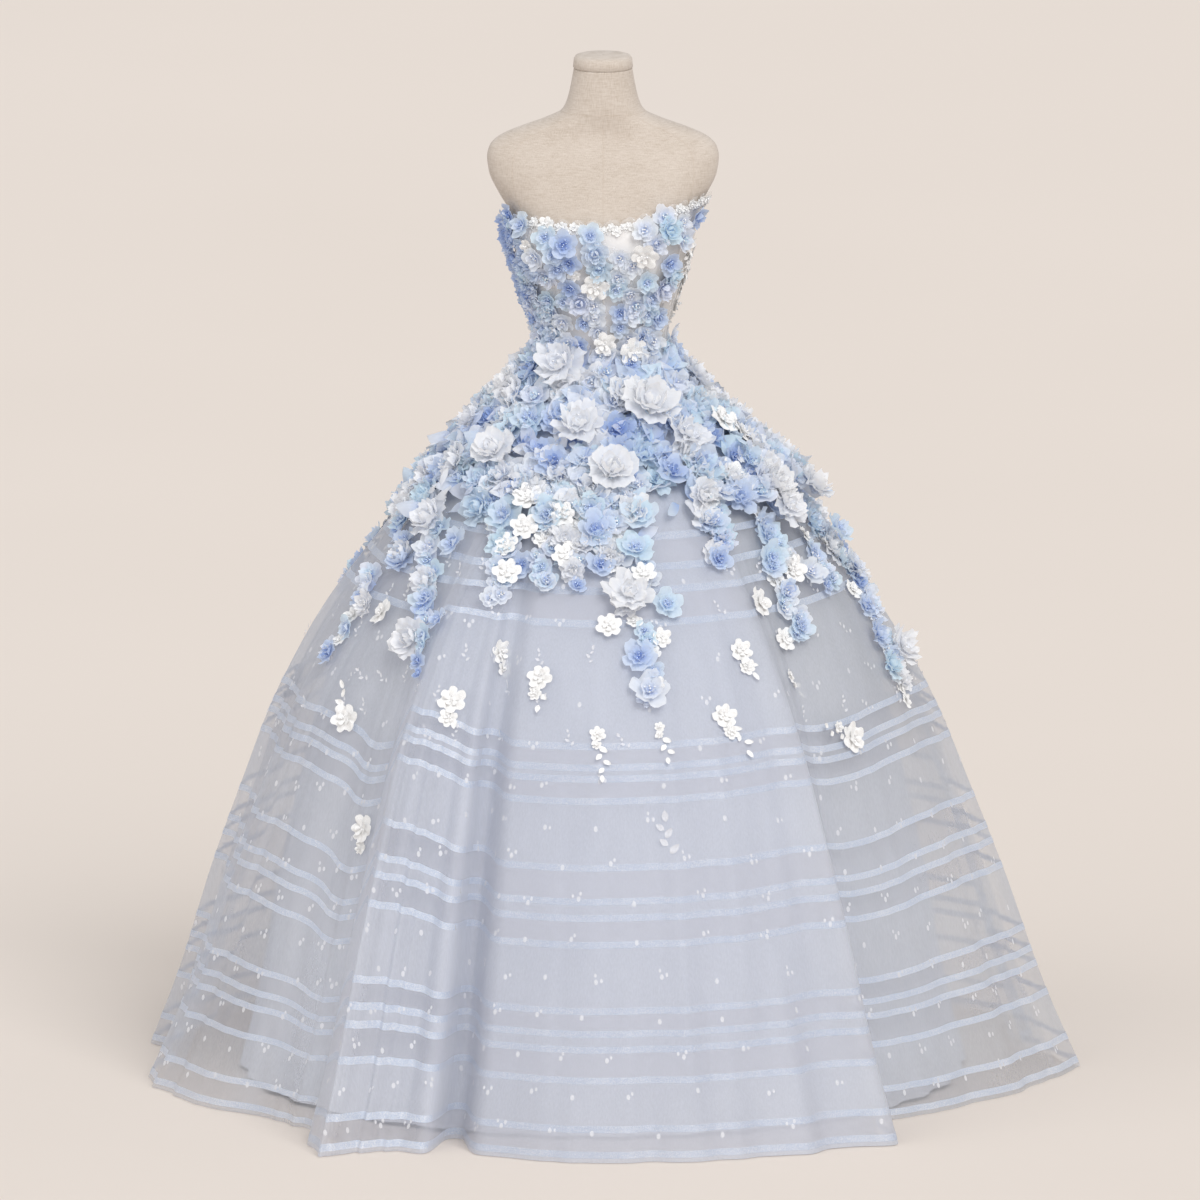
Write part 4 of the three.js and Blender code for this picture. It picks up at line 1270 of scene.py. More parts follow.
# Flowers that the photograph shows plainly: their pixel there, what they are, their radius, and how far they
# stand off the cloth
FLOWER = "x y kind radius lift"
SKIRT_FLOWERS = table(
    FLOWER,
    (570, 362, "rose", 0.050, 0.020),
    (512, 391, "rose", 0.036, 0.016),
    (583, 432, "rose", 0.047, 0.020),
    (642, 412, "rose", 0.053, 0.022),
    (678, 442, "rose", 0.043, 0.018),
    (698, 381, "rose", 0.036, 0.016),
    (504, 458, "rose", 0.046, 0.020),
    (471, 424, "rose", 0.034, 0.014),
    (611, 478, "rose", 0.047, 0.020),
    (762, 493, "rose", 0.048, 0.024),
    (836, 501, "rose", 0.042, 0.044),
    (438, 524, "rose", 0.042, 0.014),
    (629, 598, "rose", 0.044, 0.012),
    (416, 642, "rose", 0.040, 0.010),
    (905, 650, "rose", 0.040, 0.010),
    (540, 373, "dark", 0.032, 0.012),
    (496, 424, "blossom", 0.034, 0.012),
    (537, 424, "blossom", 0.034, 0.014),
    (616, 436, "dark", 0.032, 0.014),
    (545, 404, "pale", 0.032, 0.016),
    (443, 480, "blossom", 0.032, 0.012),
    (558, 468, "blossom", 0.034, 0.014),
    (667, 478, "blossom", 0.036, 0.014),
    (695, 468, "blossom", 0.036, 0.014),
    (790, 466, "pale", 0.032, 0.030),
    (458, 546, "blossom", 0.030, 0.010),
    (507, 519, "blossom", 0.036, 0.010),
    (550, 519, "blossom", 0.034, 0.010),
    (596, 534, "blossom", 0.036, 0.010),
    (639, 519, "blossom", 0.034, 0.012),
    (634, 552, "blossom", 0.034, 0.010),
    (711, 526, "blossom", 0.030, 0.010),
    (716, 562, "blossom", 0.026, 0.008),
    (522, 567, "blossom", 0.026, 0.008),
    (600, 568, "blossom", 0.028, 0.008),
    (834, 540, "blossom", 0.032, 0.030),
    (806, 575, "pale", 0.030, 0.008),
    (768, 560, "blossom", 0.032, 0.008),
    (852, 571, "pale", 0.030, 0.018),
    (872, 608, "pale", 0.030, 0.008),
    (873, 636, "blue_rose", 0.030, 0.008),
    (885, 668, "blue_rose", 0.028, 0.008),
    (797, 629, "blossom", 0.026, 0.008),
    (372, 590, "pale", 0.030, 0.008),
    (430, 601, "blossom", 0.030, 0.008),
    (441, 623, "blossom", 0.024, 0.008),
    (333, 655, "blossom", 0.024, 0.006),
    (420, 675, "dark", 0.013, 0.006),
    (665, 607, "blossom", 0.030, 0.008),
    (639, 659, "blossom", 0.034, 0.008),
    (649, 692, "pale", 0.036, 0.008),
    (492, 600, "pale", 0.020, 0.006),
    (548, 585, "pale", 0.022, 0.006),
    (713, 427, "lace", 0.030, 0.022),
    (735, 442, "lace", 0.030, 0.022),
    (752, 456, "lace", 0.028, 0.018),
    (726, 478, "lace", 0.026, 0.016),
    (706, 497, "lace", 0.026, 0.014),
    (530, 503, "lace", 0.026, 0.016),
    (527, 530, "lace", 0.024, 0.014),
    (565, 519, "lace", 0.022, 0.016),
    (509, 549, "lace", 0.022, 0.012),
    (507, 574, "lace", 0.024, 0.012),
    (567, 558, "lace", 0.024, 0.012),
    (642, 577, "lace", 0.022, 0.016),
    (609, 628, "lace", 0.022, 0.010),
    (660, 640, "lace", 0.018, 0.008),
    (788, 573, "lace", 0.026, 0.012),
    (782, 640, "lace", 0.022, 0.006),
    (757, 604, "lace", 0.028, 0.006),
    (385, 614, "lace", 0.026, 0.006),
)
BODICE_FLOWERS = table(
    FLOWER,
    (690, 217, "dark", 0.026, 0.006),
    (572, 246, "blossom", 0.027, 0.008),
    (547, 256, "pale", 0.024, 0.010),
    (595, 237, "blossom", 0.024, 0.006),
    (540, 246, "lace", 0.014, 0.012),
    (581, 274, "lace", 0.012, 0.008),
    (549, 335, "lace", 0.012, 0.004),
    (653, 298, "lace", 0.012, 0.004),
    (636, 255, "lace", 0.024, 0.014),
    (598, 286, "lace", 0.024, 0.008),
    (626, 351, "lace", 0.027, 0.012),
    (604, 343, "lace", 0.021, 0.010),
    (547, 340, "pale", 0.027, 0.010),
    (575, 343, "pale", 0.024, 0.008),
    (645, 340, "pale", 0.024, 0.008),
    (668, 334, "pale", 0.022, 0.008),
    (615, 258, "pale", 0.020, 0.006),
    (656, 233, "blue_rose", 0.027, 0.008),
    (634, 232, "pale", 0.024, 0.008),
    (650, 219, "pale", 0.022, 0.007),
    (670, 223, "pale", 0.022, 0.007),
    (646, 245, "blue_rose", 0.022, 0.007),
    (560, 226, "lace", 0.015, 0.007),
    (556, 276, "pale", 0.022, 0.006),
    (672, 240, "pale", 0.024, 0.008),
    (659, 262, "blossom", 0.024, 0.006),
    (638, 281, "blossom", 0.022, 0.006),
    (578, 287, "blossom", 0.022, 0.006),
    (556, 299, "blossom", 0.020, 0.006),
    (572, 300, "blossom", 0.020, 0.006),
    (570, 321, "pale", 0.022, 0.006),
    (615, 312, "blossom", 0.021, 0.006),
    (639, 313, "blossom", 0.021, 0.006),
    (615, 327, "blossom", 0.019, 0.005),
    (641, 329, "pale", 0.019, 0.005),
    (589, 322, "blossom", 0.018, 0.005),
    (586, 345, "blossom", 0.020, 0.006),
    (661, 349, "blossom", 0.020, 0.006),
    (566, 268, "blossom", 0.024, 0.006),
    (516, 214, "dark", 0.022, 0.006),
    (519, 236, "dark", 0.022, 0.008),
    (521, 258, "dark", 0.024, 0.008),
    (525, 278, "dark", 0.022, 0.008),
    (533, 226, "blossom", 0.024, 0.008),
    (530, 300, "pale", 0.018, 0.005),
)

# Lace motifs: a corded flower, often with a smaller one beside it, and a sprig of leaves. Their pixel in the
# photograph, the flower's radius, the way that the sprig runs (0 is right, 90 up), the second flower's size
# as a share of the first's, and the sprig's leaves and length
MOTIFS = table(
    "x y radius way second leaves length",
    (349, 718, 0.026, 100, 0.0, 4, 0.055),
    (364, 828, 0.024, -80, 0.5, 2, 0.030),
    (453, 699, 0.024, -96, 0.7, 2, 0.040),
    (500, 652, 0.021, -88, 0.7, 2, 0.036),
    (541, 677, 0.022, -98, 0.6, 3, 0.052),
    (598, 734, 0.014, -98, 0.6, 6, 0.072),
    (659, 727, 0.009, -88, 0.8, 5, 0.055),
    (723, 715, 0.022, -78, 0.7, 5, 0.072),
    (740, 651, 0.022, -88, 0.7, 3, 0.044),
    (788, 676, 0.012, -80, 0.6, 3, 0.035),
    (851, 738, 0.027, 140, 0.4, 5, 0.062),
    (906, 700, 0.015, 95, 0.7, 3, 0.040),
)
BACK_MOTIFS = 13

# Trails of flowers run down from the hips. In front they follow the photograph, by the pixels of their top,
# middle and foot there, and by how wide they are at the top, in pixels
FRONT_TRAILS = table(
    "top middle foot width count",
    ((432, 505), (380, 585), (334, 655), 30, 14),
    ((445, 530), (432, 600), (421, 672), 22, 11),
    ((492, 475), (506, 530), (500, 600), 36, 20),
    ((535, 480), (545, 530), (548, 590), 30, 15),
    ((562, 480), (572, 525), (576, 592), 30, 15),
    ((595, 490), (603, 530), (606, 575), 28, 12),
    ((628, 480), (634, 560), (650, 708), 46, 25),
    ((690, 470), (707, 515), (717, 568), 32, 15),
    ((748, 475), (772, 560), (798, 640), 44, 25),
    ((800, 505), (815, 555), (822, 590), 32, 12),
    ((825, 500), (858, 580), (903, 685), 38, 24),
)
# Behind, a trail is given by the angle at its top and foot, and its lowest height
BACK_TRAILS = table(
    "top bottom low",
    (100, 103, 0.76),
    (124, 127, 0.83),
    (150, 152, 0.74),
    (174, 177, 0.82),
    (-160, -161, 0.74),
    (-134, -137, 0.82),
    (-108, -112, 0.76),
)
BACK_TRAIL_TOP = 1.0
BACK_TRAIL_STEP = 0.021
BACK_TRAIL_WIDTH = 3.0

# What the scattered flowers are, in the hips, the trails, the bodice and its sides
HIP_KINDS = ["blossom"] * 8 + ["pale"] * 6 + ["rose"] * 7 + ["dark"] * 2 + ["blue_rose"] * 3 + ["petal"] * 2
TRAIL_KINDS = ["blossom"] * 5 + ["pale"] * 3 + ["rose"] * 2 + ["lace"] * 3 + ["petal"] + ["blue_rose"]
BODICE_KINDS = ["blossom", "blossom", "pale", "pale", "blue_rose", "blue_rose"]
LEFT_SIDE_KINDS = ["dark", "blossom", "dark", "dark"]
BACK_KINDS = ["blossom", "pale", "lace"]
HIP_ROW = 0.030
HIP_SPACING = 0.040
FEATHERY_PETALS = 26
LOOSE_PETALS = 760
EDGE_FLOWERS = 62


def add_beads(basis, origin, radius, count, size, heap):
    for i in range(count):
        spot = 2.4 * i + rng.uniform(0, 0.5)
        reach = radius * 0.13 * math.sqrt(i)
        offset = basis @ np.array([reach * math.cos(spot), reach * math.sin(spot), radius * 0.24])
        put(HEAPS[heap], SHAPES["bead"][0], np.eye(3), origin + offset, size, 0.5)


def add_flower(kind, at, radius, lift, lean=0.28):
    """Adds a flower of a kind in FLOWERS. at is a frame on the cloth."""
    here, cloth = at
    flower = FLOWERS[kind]
    spin = any_turn()
    basis = turned(cloth, spin, rng.uniform(0, lean), any_turn())
    origin = here + cloth[:, 2] * lift
    shapes = SHAPES[flower["shape"]]
    shape = random.choice(shapes) if len(shapes) > 1 else shapes[0]
    low, high = flower["low"], flower["high"]
    tone = rng.uniform(low, high) if high > low else low
    heap = blue_heap(origin) if flower["heap"] == "blue" else HEAPS[flower["heap"]]
    put(heap,shape, basis, origin, radius, tone)
    add_beads(basis, origin, radius * flower["spread"], flower["beads"], flower["size"], flower["bead"])


def add_leaves(at, way, length, count, size, heap):
    """Leaves in pairs along a short curved stem that lies on the cloth, and one at its end."""
    here, basis = at
    for i in range(count):
        share = (i + 0.8) / count
        bend = way + 18 * math.sin(2.5 * share)
        spot = here + on_cloth(basis, bend, length * share, 0.002)
        aside = 0 if i == count - 1 else 48 if i % 2 else -48
        leaf = turned(basis, math.radians(bend + aside), 0, 0)
        put(heap,SHAPES["petal"][0], leaf, spot, size * rng.uniform(0.85, 1.15), 0.5)


def add_motif(at, radius, way, second, leaves, length):
    here, basis = at
    add_flower("lace", at, radius, 0.0025, 0.05)
    if second:
        spot = here + on_cloth(basis, way, radius * 1.35)
        add_flower("lace", (spot, basis), radius * second, 0.0030, 0.05)
    add_leaves(at, way, length, leaves, 0.015, HEAPS["lace"])


def make_motifs():
    for row in MOTIFS:
        at = skirt_spot(row["x"], row["y"])
        add_motif(at, row["radius"], row["way"], row["second"], row["leaves"], row["length"])
    for i in range(BACK_MOTIFS):
        angle = 106 + i * 12.5 + rng.uniform(-3, 3)
        height = 0.44 + 0.30 * ((i * 5) % BACK_MOTIFS) / BACK_MOTIFS
        at = skirt_frame(wrapped(angle), height)
        add_motif(at, rng.uniform(0.018, 0.026), -90 + rng.uniform(-25, 25), 0.65, 3, 0.05)


def make_named_flowers():
    for row in SKIRT_FLOWERS:
        add_flower(row["kind"], skirt_spot(row["x"], row["y"]), row["radius"], row["lift"])
    for row in BODICE_FLOWERS:
        at = bodice_frame(*bodice_spot(row["x"], row["y"]))
        add_flower(row["kind"], at, row["radius"], row["lift"])


def make_hip_flowers():
    """Fills the hips all round with flowers. The mass hangs lower at the sides, its edge is uneven, and it is
    thicker at the right."""
    height = 1.186
    row = 0
    while height > 0.90:
        radius = float(smooth(SKIRT_PROFILE, "height", "radius", height))
        count = round(2 * math.pi * radius / HIP_SPACING)
        for i in range(count):
            angle = -180 + 360 * (i + 0.5 * (row % 2) + rng.uniform(-0.25, 0.25)) / count
            turn = math.radians(angle)
            edge = 0.985 + 0.045 * math.cos(2 * turn) + 0.016 * math.sin(5 * turn + 1.0)
            edge = edge + 0.014 * math.sin(11 * turn)
            here = height + rng.uniform(-0.012, 0.012)
            if here < edge:
                continue
            kind = random.choice(HIP_KINDS)
            size = RADII[kind] * rng.uniform(0.82, 1.12)
            thicker = math.exp(-(((angle - 80) / 35) ** 2) - ((here - 0.97) / 0.07) ** 2)
            lift = rng.uniform(0.003, 0.010) + 0.030 * thicker
            add_flower(kind, skirt_frame(angle, here), size, lift, 0.45)
        height -= HIP_ROW
        row += 1


def make_feathery_petals():
    """Long pale petals stand out at the hips' sides."""
    for side in (-1, 1):
        for i in range(FEATHERY_PETALS):
            angle = side * rng.uniform(48, 128)
            here, basis = skirt_frame(angle, rng.uniform(0.95, 1.12))
            lean = rng.uniform(-1.0, -0.35)
            way = any_turn()
            up = np.array([math.cos(way) * 0.8, math.sin(way) * 0.8, -lean])
            up /= np.linalg.norm(up)
            across = np.cross(up, [0.0, 0.0, 1.0]) + np.array([1e-6, 0, 0])
            across /= np.linalg.norm(across)
            petal = basis @ np.stack([up, across, np.cross(up, across)], axis=1)
            heap = blue_heap(here) if i % 3 else HEAPS["white"]
            size = rng.uniform(0.036, 0.060)
            put(heap,SHAPES["petal"][0], petal, here + basis[:, 2] * 0.010, size, rng.uniform(0.6, 1))


def make_loose_petals():
    """Single sheer petals stand between the hip flowers and hide the cloth there."""
    for i in range(LOOSE_PETALS):
        angle = 180 * math.sin(i * 2.3999) if i % 2 else rng.uniform(-180, 180)
        here, basis = skirt_frame(angle, rng.uniform(0.985, 1.190))
        basis = turned(basis, any_turn(), 0, 0) @ turned(np.eye(3), 0, -rng.uniform(0.1, 0.8), 0)
        heap = HEAPS["white"] if i % 4 == 0 else blue_heap(here)
        lifted = here + basis[:, 2] * rng.uniform(0.004, 0.014)
        put(heap,SHAPES["petal"][0], basis, lifted, rng.uniform(0.034, 0.056), rng.uniform(0.35, 1.0))


def narrowing(share):
    """How wide a trail is, as a share of its width at the top."""
    return 1.2 - 0.9 * share


def trail_flower(at, share):
    kind = random.choice(TRAIL_KINDS)
    size = RADII[kind] * (0.95 - 0.30 * share) * rng.uniform(0.8, 1.05)
    add_flower(kind, at, size, rng.uniform(0.003, 0.008), 0.4)


def make_trails():
    for trail in FRONT_TRAILS:
        corners = np.array([trail["top"], trail["middle"], trail["foot"]], dtype=float)
        corners[1] = 2 * corners[1] - (corners[0] + corners[2]) / 2
        for i in range(trail["count"]):
            share = (i + rng.uniform(0, 0.6)) / trail["count"]
            way = np.array([(1 - share) ** 2, 2 * share * (1 - share), share**2])
            x, y = way @ corners
            x += rng.uniform(-0.5, 0.5) * trail["width"] * narrowing(share)
            trail_flower(skirt_spot(x, y), share)
    for trail in BACK_TRAILS:
        length = BACK_TRAIL_TOP - trail["low"]
        steps = round(length / BACK_TRAIL_STEP)
        for i in range(steps):
            share = (i + rng.uniform(0, 0.6)) / steps
            middle = trail["top"] + (trail["bottom"] - trail["top"]) * share
            side = rng.uniform(-1, 1) * BACK_TRAIL_WIDTH * narrowing(share)
            trail_flower(skirt_frame(middle + side, BACK_TRAIL_TOP - length * share), share)


def make_bodice_fill():
    """Small blossoms fill the bodice's front between the larger flowers, and leave its top edge bare."""
    taken = [bodice_spot(row["x"], row["y"]) for row in BODICE_FLOWERS]
    for height in np.arange(1.212, 1.445, 0.0225):
        for angle in np.arange(-68, 50, 12.5):
            here = angle + rng.uniform(-4, 4)
            up = height + rng.uniform(-0.007, 0.007)
            near = min(math.hypot((here - a) * BODICE_DEGREE, up - h) for a, h in taken)
            bare = 0.017 if here > 14 or here < -30 else 0.028
            if near < 0.017 or up > float(neckline(here)) - bare:
                continue
            kind = random.choice(BODICE_KINDS)
            size = 0.74 * RADII[kind] * rng.uniform(0.8, 1.05)
            add_flower(kind, bodice_frame(here, up), size, 0.005, 0.35)


def make_bodice_lace():
    """Lace flowers and leaves on the net of the bodice's right side and back."""
    for i in range(46):
        angle = wrapped(52 + (i * 37) % 210)
        height = 1.222 + (float(neckline(angle)) - 1.250) * ((i * 7) % 11) / 10.5
        at = bodice_frame(angle, height)
        if i % 3:
            add_leaves(at, rng.uniform(30, 150), 0.034, 5, 0.011, HEAPS["lace"])
        else:
            add_motif(at, 0.0125, rng.uniform(-120, -60), 0.6, 3, 0.03)


def make_side_flowers():
    """The bodice's left side carries a thick bunch, and its hidden sides and back a few."""
    for i in range(16):
        angle = -66 - 34 * rng.uniform(0, 1)
        height = 1.27 + 0.165 * (i + 0.5) / 16
        kind = random.choice(LEFT_SIDE_KINDS)
        add_flower(kind, bodice_frame(angle, height), 0.024 * rng.uniform(0.85, 1.15), 0.007, 0.4)
    for i in range(24):
        angle = wrapped(100 + i * 7.2)
        height = 1.225 + 0.13 * rng.uniform(0, 1) ** 1.5
        kind = random.choice(BACK_KINDS)
        by_the_closing = abs(abs(angle) - 180) < 6
        if not by_the_closing:
            add_flower(kind, bodice_frame(angle, height), 0.020 * rng.uniform(0.8, 1.1), 0.005, 0.3)


def build_flowers():
    make_named_flowers()
    make_hip_flowers()
    make_feathery_petals()
    make_loose_petals()
    make_trails()
    make_motifs()
    make_bodice_fill()
    make_bodice_lace()
    make_side_flowers()
    trails = [name for name in frame["nodes"] if name.startswith("trail_")]
    behind = [name for name in trails if name.endswith("_rear") or "_back_" in name]
    ahead = [name for name in trails if name not in behind]
    laces = [name for name in frame["nodes"] if name.startswith("lace_")]
    pieces = table(
        "heap piece mat slot replaces",
        ("blue_bodice", "flowers_blue_bodice", "blue", "flower_petals", ["bodice_flowers"]),
        ("blue_front", "flowers_blue_front", "blue", "flower_petals", ["hip_flowers_front", *ahead]),
        ("blue_back", "flowers_blue_back", "blue", "flower_petals", ["hip_flowers_back", *behind]),
        ("white", "flowers_white", "white", "flower_petals", []),
        ("lace", "flowers_lace", "lace", "white_lace", laces),
        ("bead", "beads_blue", "bead", "flower_petals", []),
        ("pearl", "beads_pearl", "pearl", "white_lace", []),
    )
    for row in pieces:
        build_heap(HEAPS[row["heap"]], row["piece"], MATERIALS[row["mat"]], row["slot"], row["replaces"])


# Small embroidered buds, single, in twos or in threes, and one larger embroidered sprig
BUD_SETS = [
    ((0.000, 0.000, 0.0042),),
    ((0.000, 0.000, 0.0040), (0.007, 0.005, 0.0028)),
    ((0.000, 0.000, 0.0040), (0.007, 0.006, 0.0032), (-0.006, 0.009, 0.0028)),
]
BUD_ROW = 0.060
BUD_SPACING = 0.080
BUD_OUT = 0.0011
SPRIG = dict(x=670, y=858, way=85, length=0.066, leaves=5, size=0.019)


def outer_face(place, height):
    return skirt_point(place, height, -BUD_OUT)


def make_embroidery():
    """Buds in staggered rows all over the skirt, and sprigs nearer the hips."""
    heap = []
    bud = flower_shape("bud")
    for row, height in enumerate(np.arange(0.045, 0.90, BUD_ROW)):
        radius = float(smooth(SKIRT_PROFILE, "height", "radius", height))
        count = round(2 * math.pi * radius / BUD_SPACING)
        for i in range(count):
            round_way = (i + 0.5 * (row % 2) + rng.uniform(-0.12, 0.12)) * len(FOLDS) / count
            at = frame_at(outer_face, round_way, height + rng.uniform(-0.008, 0.008), 0.05, 0.006)
            if height > 0.60 and rng.uniform() < 0.45:
                add_leaves(at, rng.uniform(40, 140), 0.030, 4, 0.0075, heap)
                continue
            here, basis = at
            spin = rng.uniform(-0.7, 0.7)
            c, s = math.cos(spin), math.sin(spin)
            for dx, dy, size in random.choice(BUD_SETS):
                offset = basis @ np.array([c * dx - s * dy, s * dx + c * dy, 0.0])
                put(heap,bud, basis @ np.diag([0.8, 1.2, 1.0]), here + offset, size, 0.5)
    sprig = skirt_spot(SPRIG["x"], SPRIG["y"])
    add_leaves(sprig, SPRIG["way"], SPRIG["length"], SPRIG["leaves"], SPRIG["size"], heap)
    return build_heap(heap, "embroidery_buds", MATERIALS["embroidery"], "skirt_organza")


# The bodice
def bodice_shell(name, mat, out, columns=180, rows=30):
    angles = np.arange(columns)[None, :] * 360.0 / columns - 180
    heights = WAIST + (neckline(angles) - WAIST) * np.linspace(0, 1, rows)[:, None]
    return grid_object(name, [bodice_point(angles + 0 * heights, heights, out)], mat, True)


def make_bodice():
    base = bodice_shell("bodice_base", MATERIALS["bodice_base"], -0.0015)
    base.data.materials.append(MATERIALS["bodice_side"])
    middles = np.array([face.center for face in base.data.polygons])
    around = np.degrees(np.arctan2(middles[:, 0], -middles[:, 1]))
    base.data.polygons.foreach_set("material_index", ((around > 44) | (around < -70)).astype(int))
    finish_piece(base, "bodice_net", BODICE_PANELS)
    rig.sheet(base, flat=BODICE_CUT, held="stretched", rests_on=["form_torso"], area=area_of(base))
    lace = bodice_shell("bodice_lace", MATERIALS["bodice"], 0.0)
    finish_piece(lace, "bodice_net")
    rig.sheet(lace, flat=BODICE_CUT, held="stretched", rests_on=["bodice_base"], area=area_of(lace))


def make_boning():
    """Narrow casings with bones in them run up the bodice, and a lapped closing runs down its back."""
    share = np.linspace(0, 1, 24)[:, None]
    across = np.linspace(-1, 1, 7)[None, :]
    out = 0.0004 + 0.0014 * (1 - across**4) + 0 * share
    grids = []
    for row in BONES:
        middle = row["waist"] + (row["top"] - row["waist"]) * share
        angles = middle + across * row["half"] / BODICE_DEGREE
        heights = WAIST + 0.003 + (neckline(angles) - 0.012 - WAIST) * share
        grids.append(bodice_point(angles, heights, out))
    return finish_piece(grid_object("bodice_boning", grids, MATERIALS["bodice"]), "bodice_net")


def make_lace_edge():
    """A scalloped strip of lace along the neckline, with a row of small lace flowers and pearls on it."""
    angles = np.linspace(-100, 104, 409)
    scallop = np.abs(np.sin(np.radians(angles) * 21))
    top = neckline(angles) + 0.003 + 0.009 * scallop**0.6
    bottom = neckline(angles) - 0.012
    heights = bottom + (top - bottom) * np.linspace(0, 1, 5)[:, None]
    points = bodice_point(angles + 0 * heights, heights, 0.0012)
    strip = grid_object("neckline_edge", [points], MATERIALS["edge_lace"])
    finish_piece(strip, "white_lace", ["neckline_lace"])
    area = min(area_of(strip), NECKLINE_CUT[0] * NECKLINE_CUT[1])
    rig.sheet(strip, flat=NECKLINE_CUT, held="stretched", rests_on=["bodice_lace"], area=area)
    for i, angle in enumerate(np.linspace(-96, 100, EDGE_FLOWERS)):
        height = float(neckline(angle)) - 0.003 + 0.004 * math.sin(i * 2.3)
        add_flower("lace", bodice_frame(angle, height), 0.0055 + 0.0018 * (i % 3), 0.002, 0.2)
        spot, _ = bodice_frame(angle + 1.5, height - 0.007)
        put(HEAPS["pearl"], SHAPES["bead"][0], np.eye(3), spot, 0.0017, 0.5)


# The dress form
def make_form():
    ring = np.arange(FORM_COLUMNS)
    angles = ring * 360.0 / FORM_COLUMNS
    body = np.linspace(FORM_BOTTOM, SHOULDERS_FROM, 60)[:-1]
    heights = np.concatenate([body, np.linspace(SHOULDERS_FROM, FORM_TOP, 70)])
    points = form_point(angles[None, :], heights[:, None]).reshape(-1, 3)
    after = (ring + 1) % FORM_COLUMNS
    last = (len(heights) - 1) * FORM_COLUMNS
    foot = np.stack([0 * ring + len(points), after, ring], axis=1)
    lid = np.stack([0 * ring + len(points) + 1, last + ring, last + after], axis=1)
    faces = [grid_faces(len(heights), FORM_COLUMNS, closed=True), np.concatenate([foot, lid])]
    points = np.concatenate([points, [[0, 0, FORM_BOTTOM], [0, 0, FORM_TOP]]])
    torso = new_object("form_linen_torso", points, faces, MATERIALS["linen"])
    finish_piece(torso, "form_linen", ["form_torso"])
    rim = form_point(angles, FORM_TOP)
    rings = np.stack([rim * row["share"] for row in CAP_RINGS])
    rings[:, :, 2] = (FORM_TOP + CAP_GAP + column(CAP_RINGS, "height"))[:, None]
    cap = grid_object("form_linen_cap", [rings], MATERIALS["linen"], True)
    finish_piece(cap, "form_linen", ["form_neck_cap"])


def seam(points, sides=5):
    """A thin thread along points that lie on the form."""
    along = np.gradient(points, axis=0)
    along /= np.linalg.norm(along, axis=1, keepdims=True)
    side = np.cross(along, [0.0, 0.0, 1.0]) + 1e-9
    side /= np.linalg.norm(side, axis=1, keepdims=True)
    up = np.cross(side, along)
    turn = np.arange(sides)[None, :, None] * 2 * np.pi / sides
    away = np.cos(turn) * side[:, None, :] + np.sin(turn) * up[:, None, :]
    return points[:, None, :] + THREAD_RADIUS * away


def make_form_seams():
    """The form's seams: the centre lines, the curved panel seams and the round of the neck."""
    heights = np.linspace(*SEAM_HEIGHTS, 60)
    lines = [form_point(np.linspace(*angles, 60), heights) for angles in FORM_SEAMS]
    lines.append(form_point(np.linspace(0, 360, 120), NECK_SEAM))
    seams = grid_object("form_seams", [seam(line) for line in lines], MATERIALS["thread"], True)
    finish_piece(seams, "form_linen")


def paint_stand():
    made, tree, shader = material("stand_metal", 0.4, Metallic=0.4)
    grain = noise(tree, 60.0, 3.0)
    paint(tree, shader, grain, (0.35, (0.42, 0.40, 0.38)), (0.65, (0.50, 0.48, 0.46)))
    add_bump(tree, shader, grain, 0.05, 0.0005)
    for name in ("stand_pole", "stand_base"):
        stand = frame["nodes"][name]
        if not stand.data.materials:
            stand.data.materials.append(None)
        for slot in stand.material_slots:
            slot.material = made


# The camera, the floor and the lights
def aim(thing, direction, axis):
    thing.rotation_mode = "QUATERNION"
    thing.rotation_quaternion = direction.to_track_quat(axis, "Y")


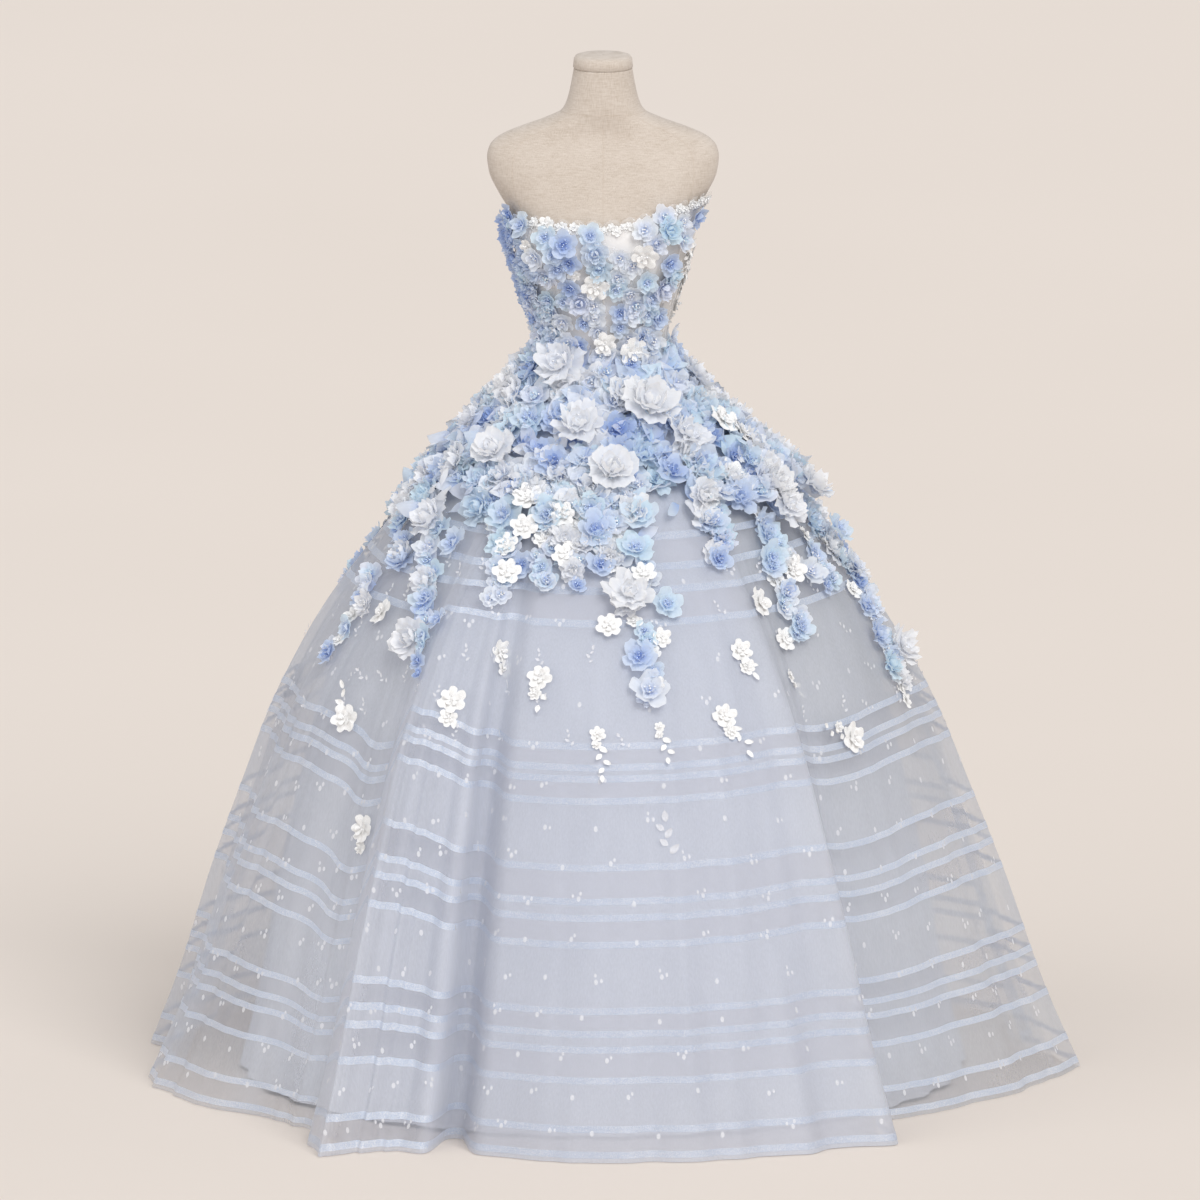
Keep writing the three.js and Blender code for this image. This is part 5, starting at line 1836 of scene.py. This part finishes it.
def make_camera():
    data = bpy.data.cameras.new("camera")
    data.sensor_width = SENSOR
    data.lens = PIXELS_PER_METRE * CAMERA_DISTANCE * SENSOR / PHOTO_SIDE
    data.clip_start = 1.0
    data.clip_end = 400.0
    camera = add_object("camera", data)
    pitch = math.radians(PITCH)
    across = (PHOTO_SIDE / 2 - CENTRE_X) / PIXELS_PER_METRE
    above = (FLOOR_Y - PHOTO_SIDE / 2) / PIXELS_PER_METRE / math.cos(pitch)
    back = Vector((0, -math.cos(pitch), math.sin(pitch)))
    camera.location = Vector((across, 0, above)) + back * CAMERA_DISTANCE
    aim(camera, -back, "-Z")
    bpy.context.scene.camera = camera


def make_stage():
    paper, tree, shader = material("studio_floor", 0.9, Specular_IOR_Level=0.0)
    paint(tree, shader, noise(tree, 0.8, 2.0), (0.3, (0.732, 0.663, 0.601)), (0.7, (0.742, 0.672, 0.610)))
    corners = [(FLOOR_SIZE * x, FLOOR_SIZE * y, 0) for x, y in ((-1, -1), (1, -1), (1, 1), (-1, 1))]
    floor = new_object("studio_floor", corners, [[[0, 1, 2, 3]]], paper)
    floor.location.z = -0.0005
    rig.stage(floor)

    world = bpy.data.worlds.new("studio")
    world.use_nodes = True
    background = world.node_tree.nodes["Background"]
    background.inputs["Color"].default_value = (0.93, 0.93, 0.95, 1)
    background.inputs["Strength"].default_value = 0.62
    bpy.context.scene.world = world

    for row in LIGHTS:
        data = bpy.data.lights.new(row["name"], "SUN")
        data.energy = row["strength"]
        data.angle = math.radians(row["spread"])
        a, e = math.radians(row["azimuth"]), math.radians(row["elevation"])
        direction = Vector((math.sin(a) * math.cos(e), -math.cos(a) * math.cos(e), math.sin(e)))
        aim(add_object(row["name"], data), direction, "Z")

    bpy.context.scene.view_settings.view_transform = "Standard"
    bpy.context.scene.cycles.transparent_max_bounces = 24


make_camera()
make_stage()
make_form()
make_form_seams()
paint_stand()
skirt = make_skirt()
declare_skirt(skirt, SKIRT_COLUMNS, [make_ribbons(), make_embroidery()])
make_under_layers()
make_bodice()
make_boning()
make_lace_edge()
build_flowers()

dressed_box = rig.bounds()
with open("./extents.json", "w") as report:
    boxes = dict(
        cad=[list(corner) for corner in cad_box],
        dressed=[list(corner) for corner in dressed_box],
    )
    json.dump(boxes, report)
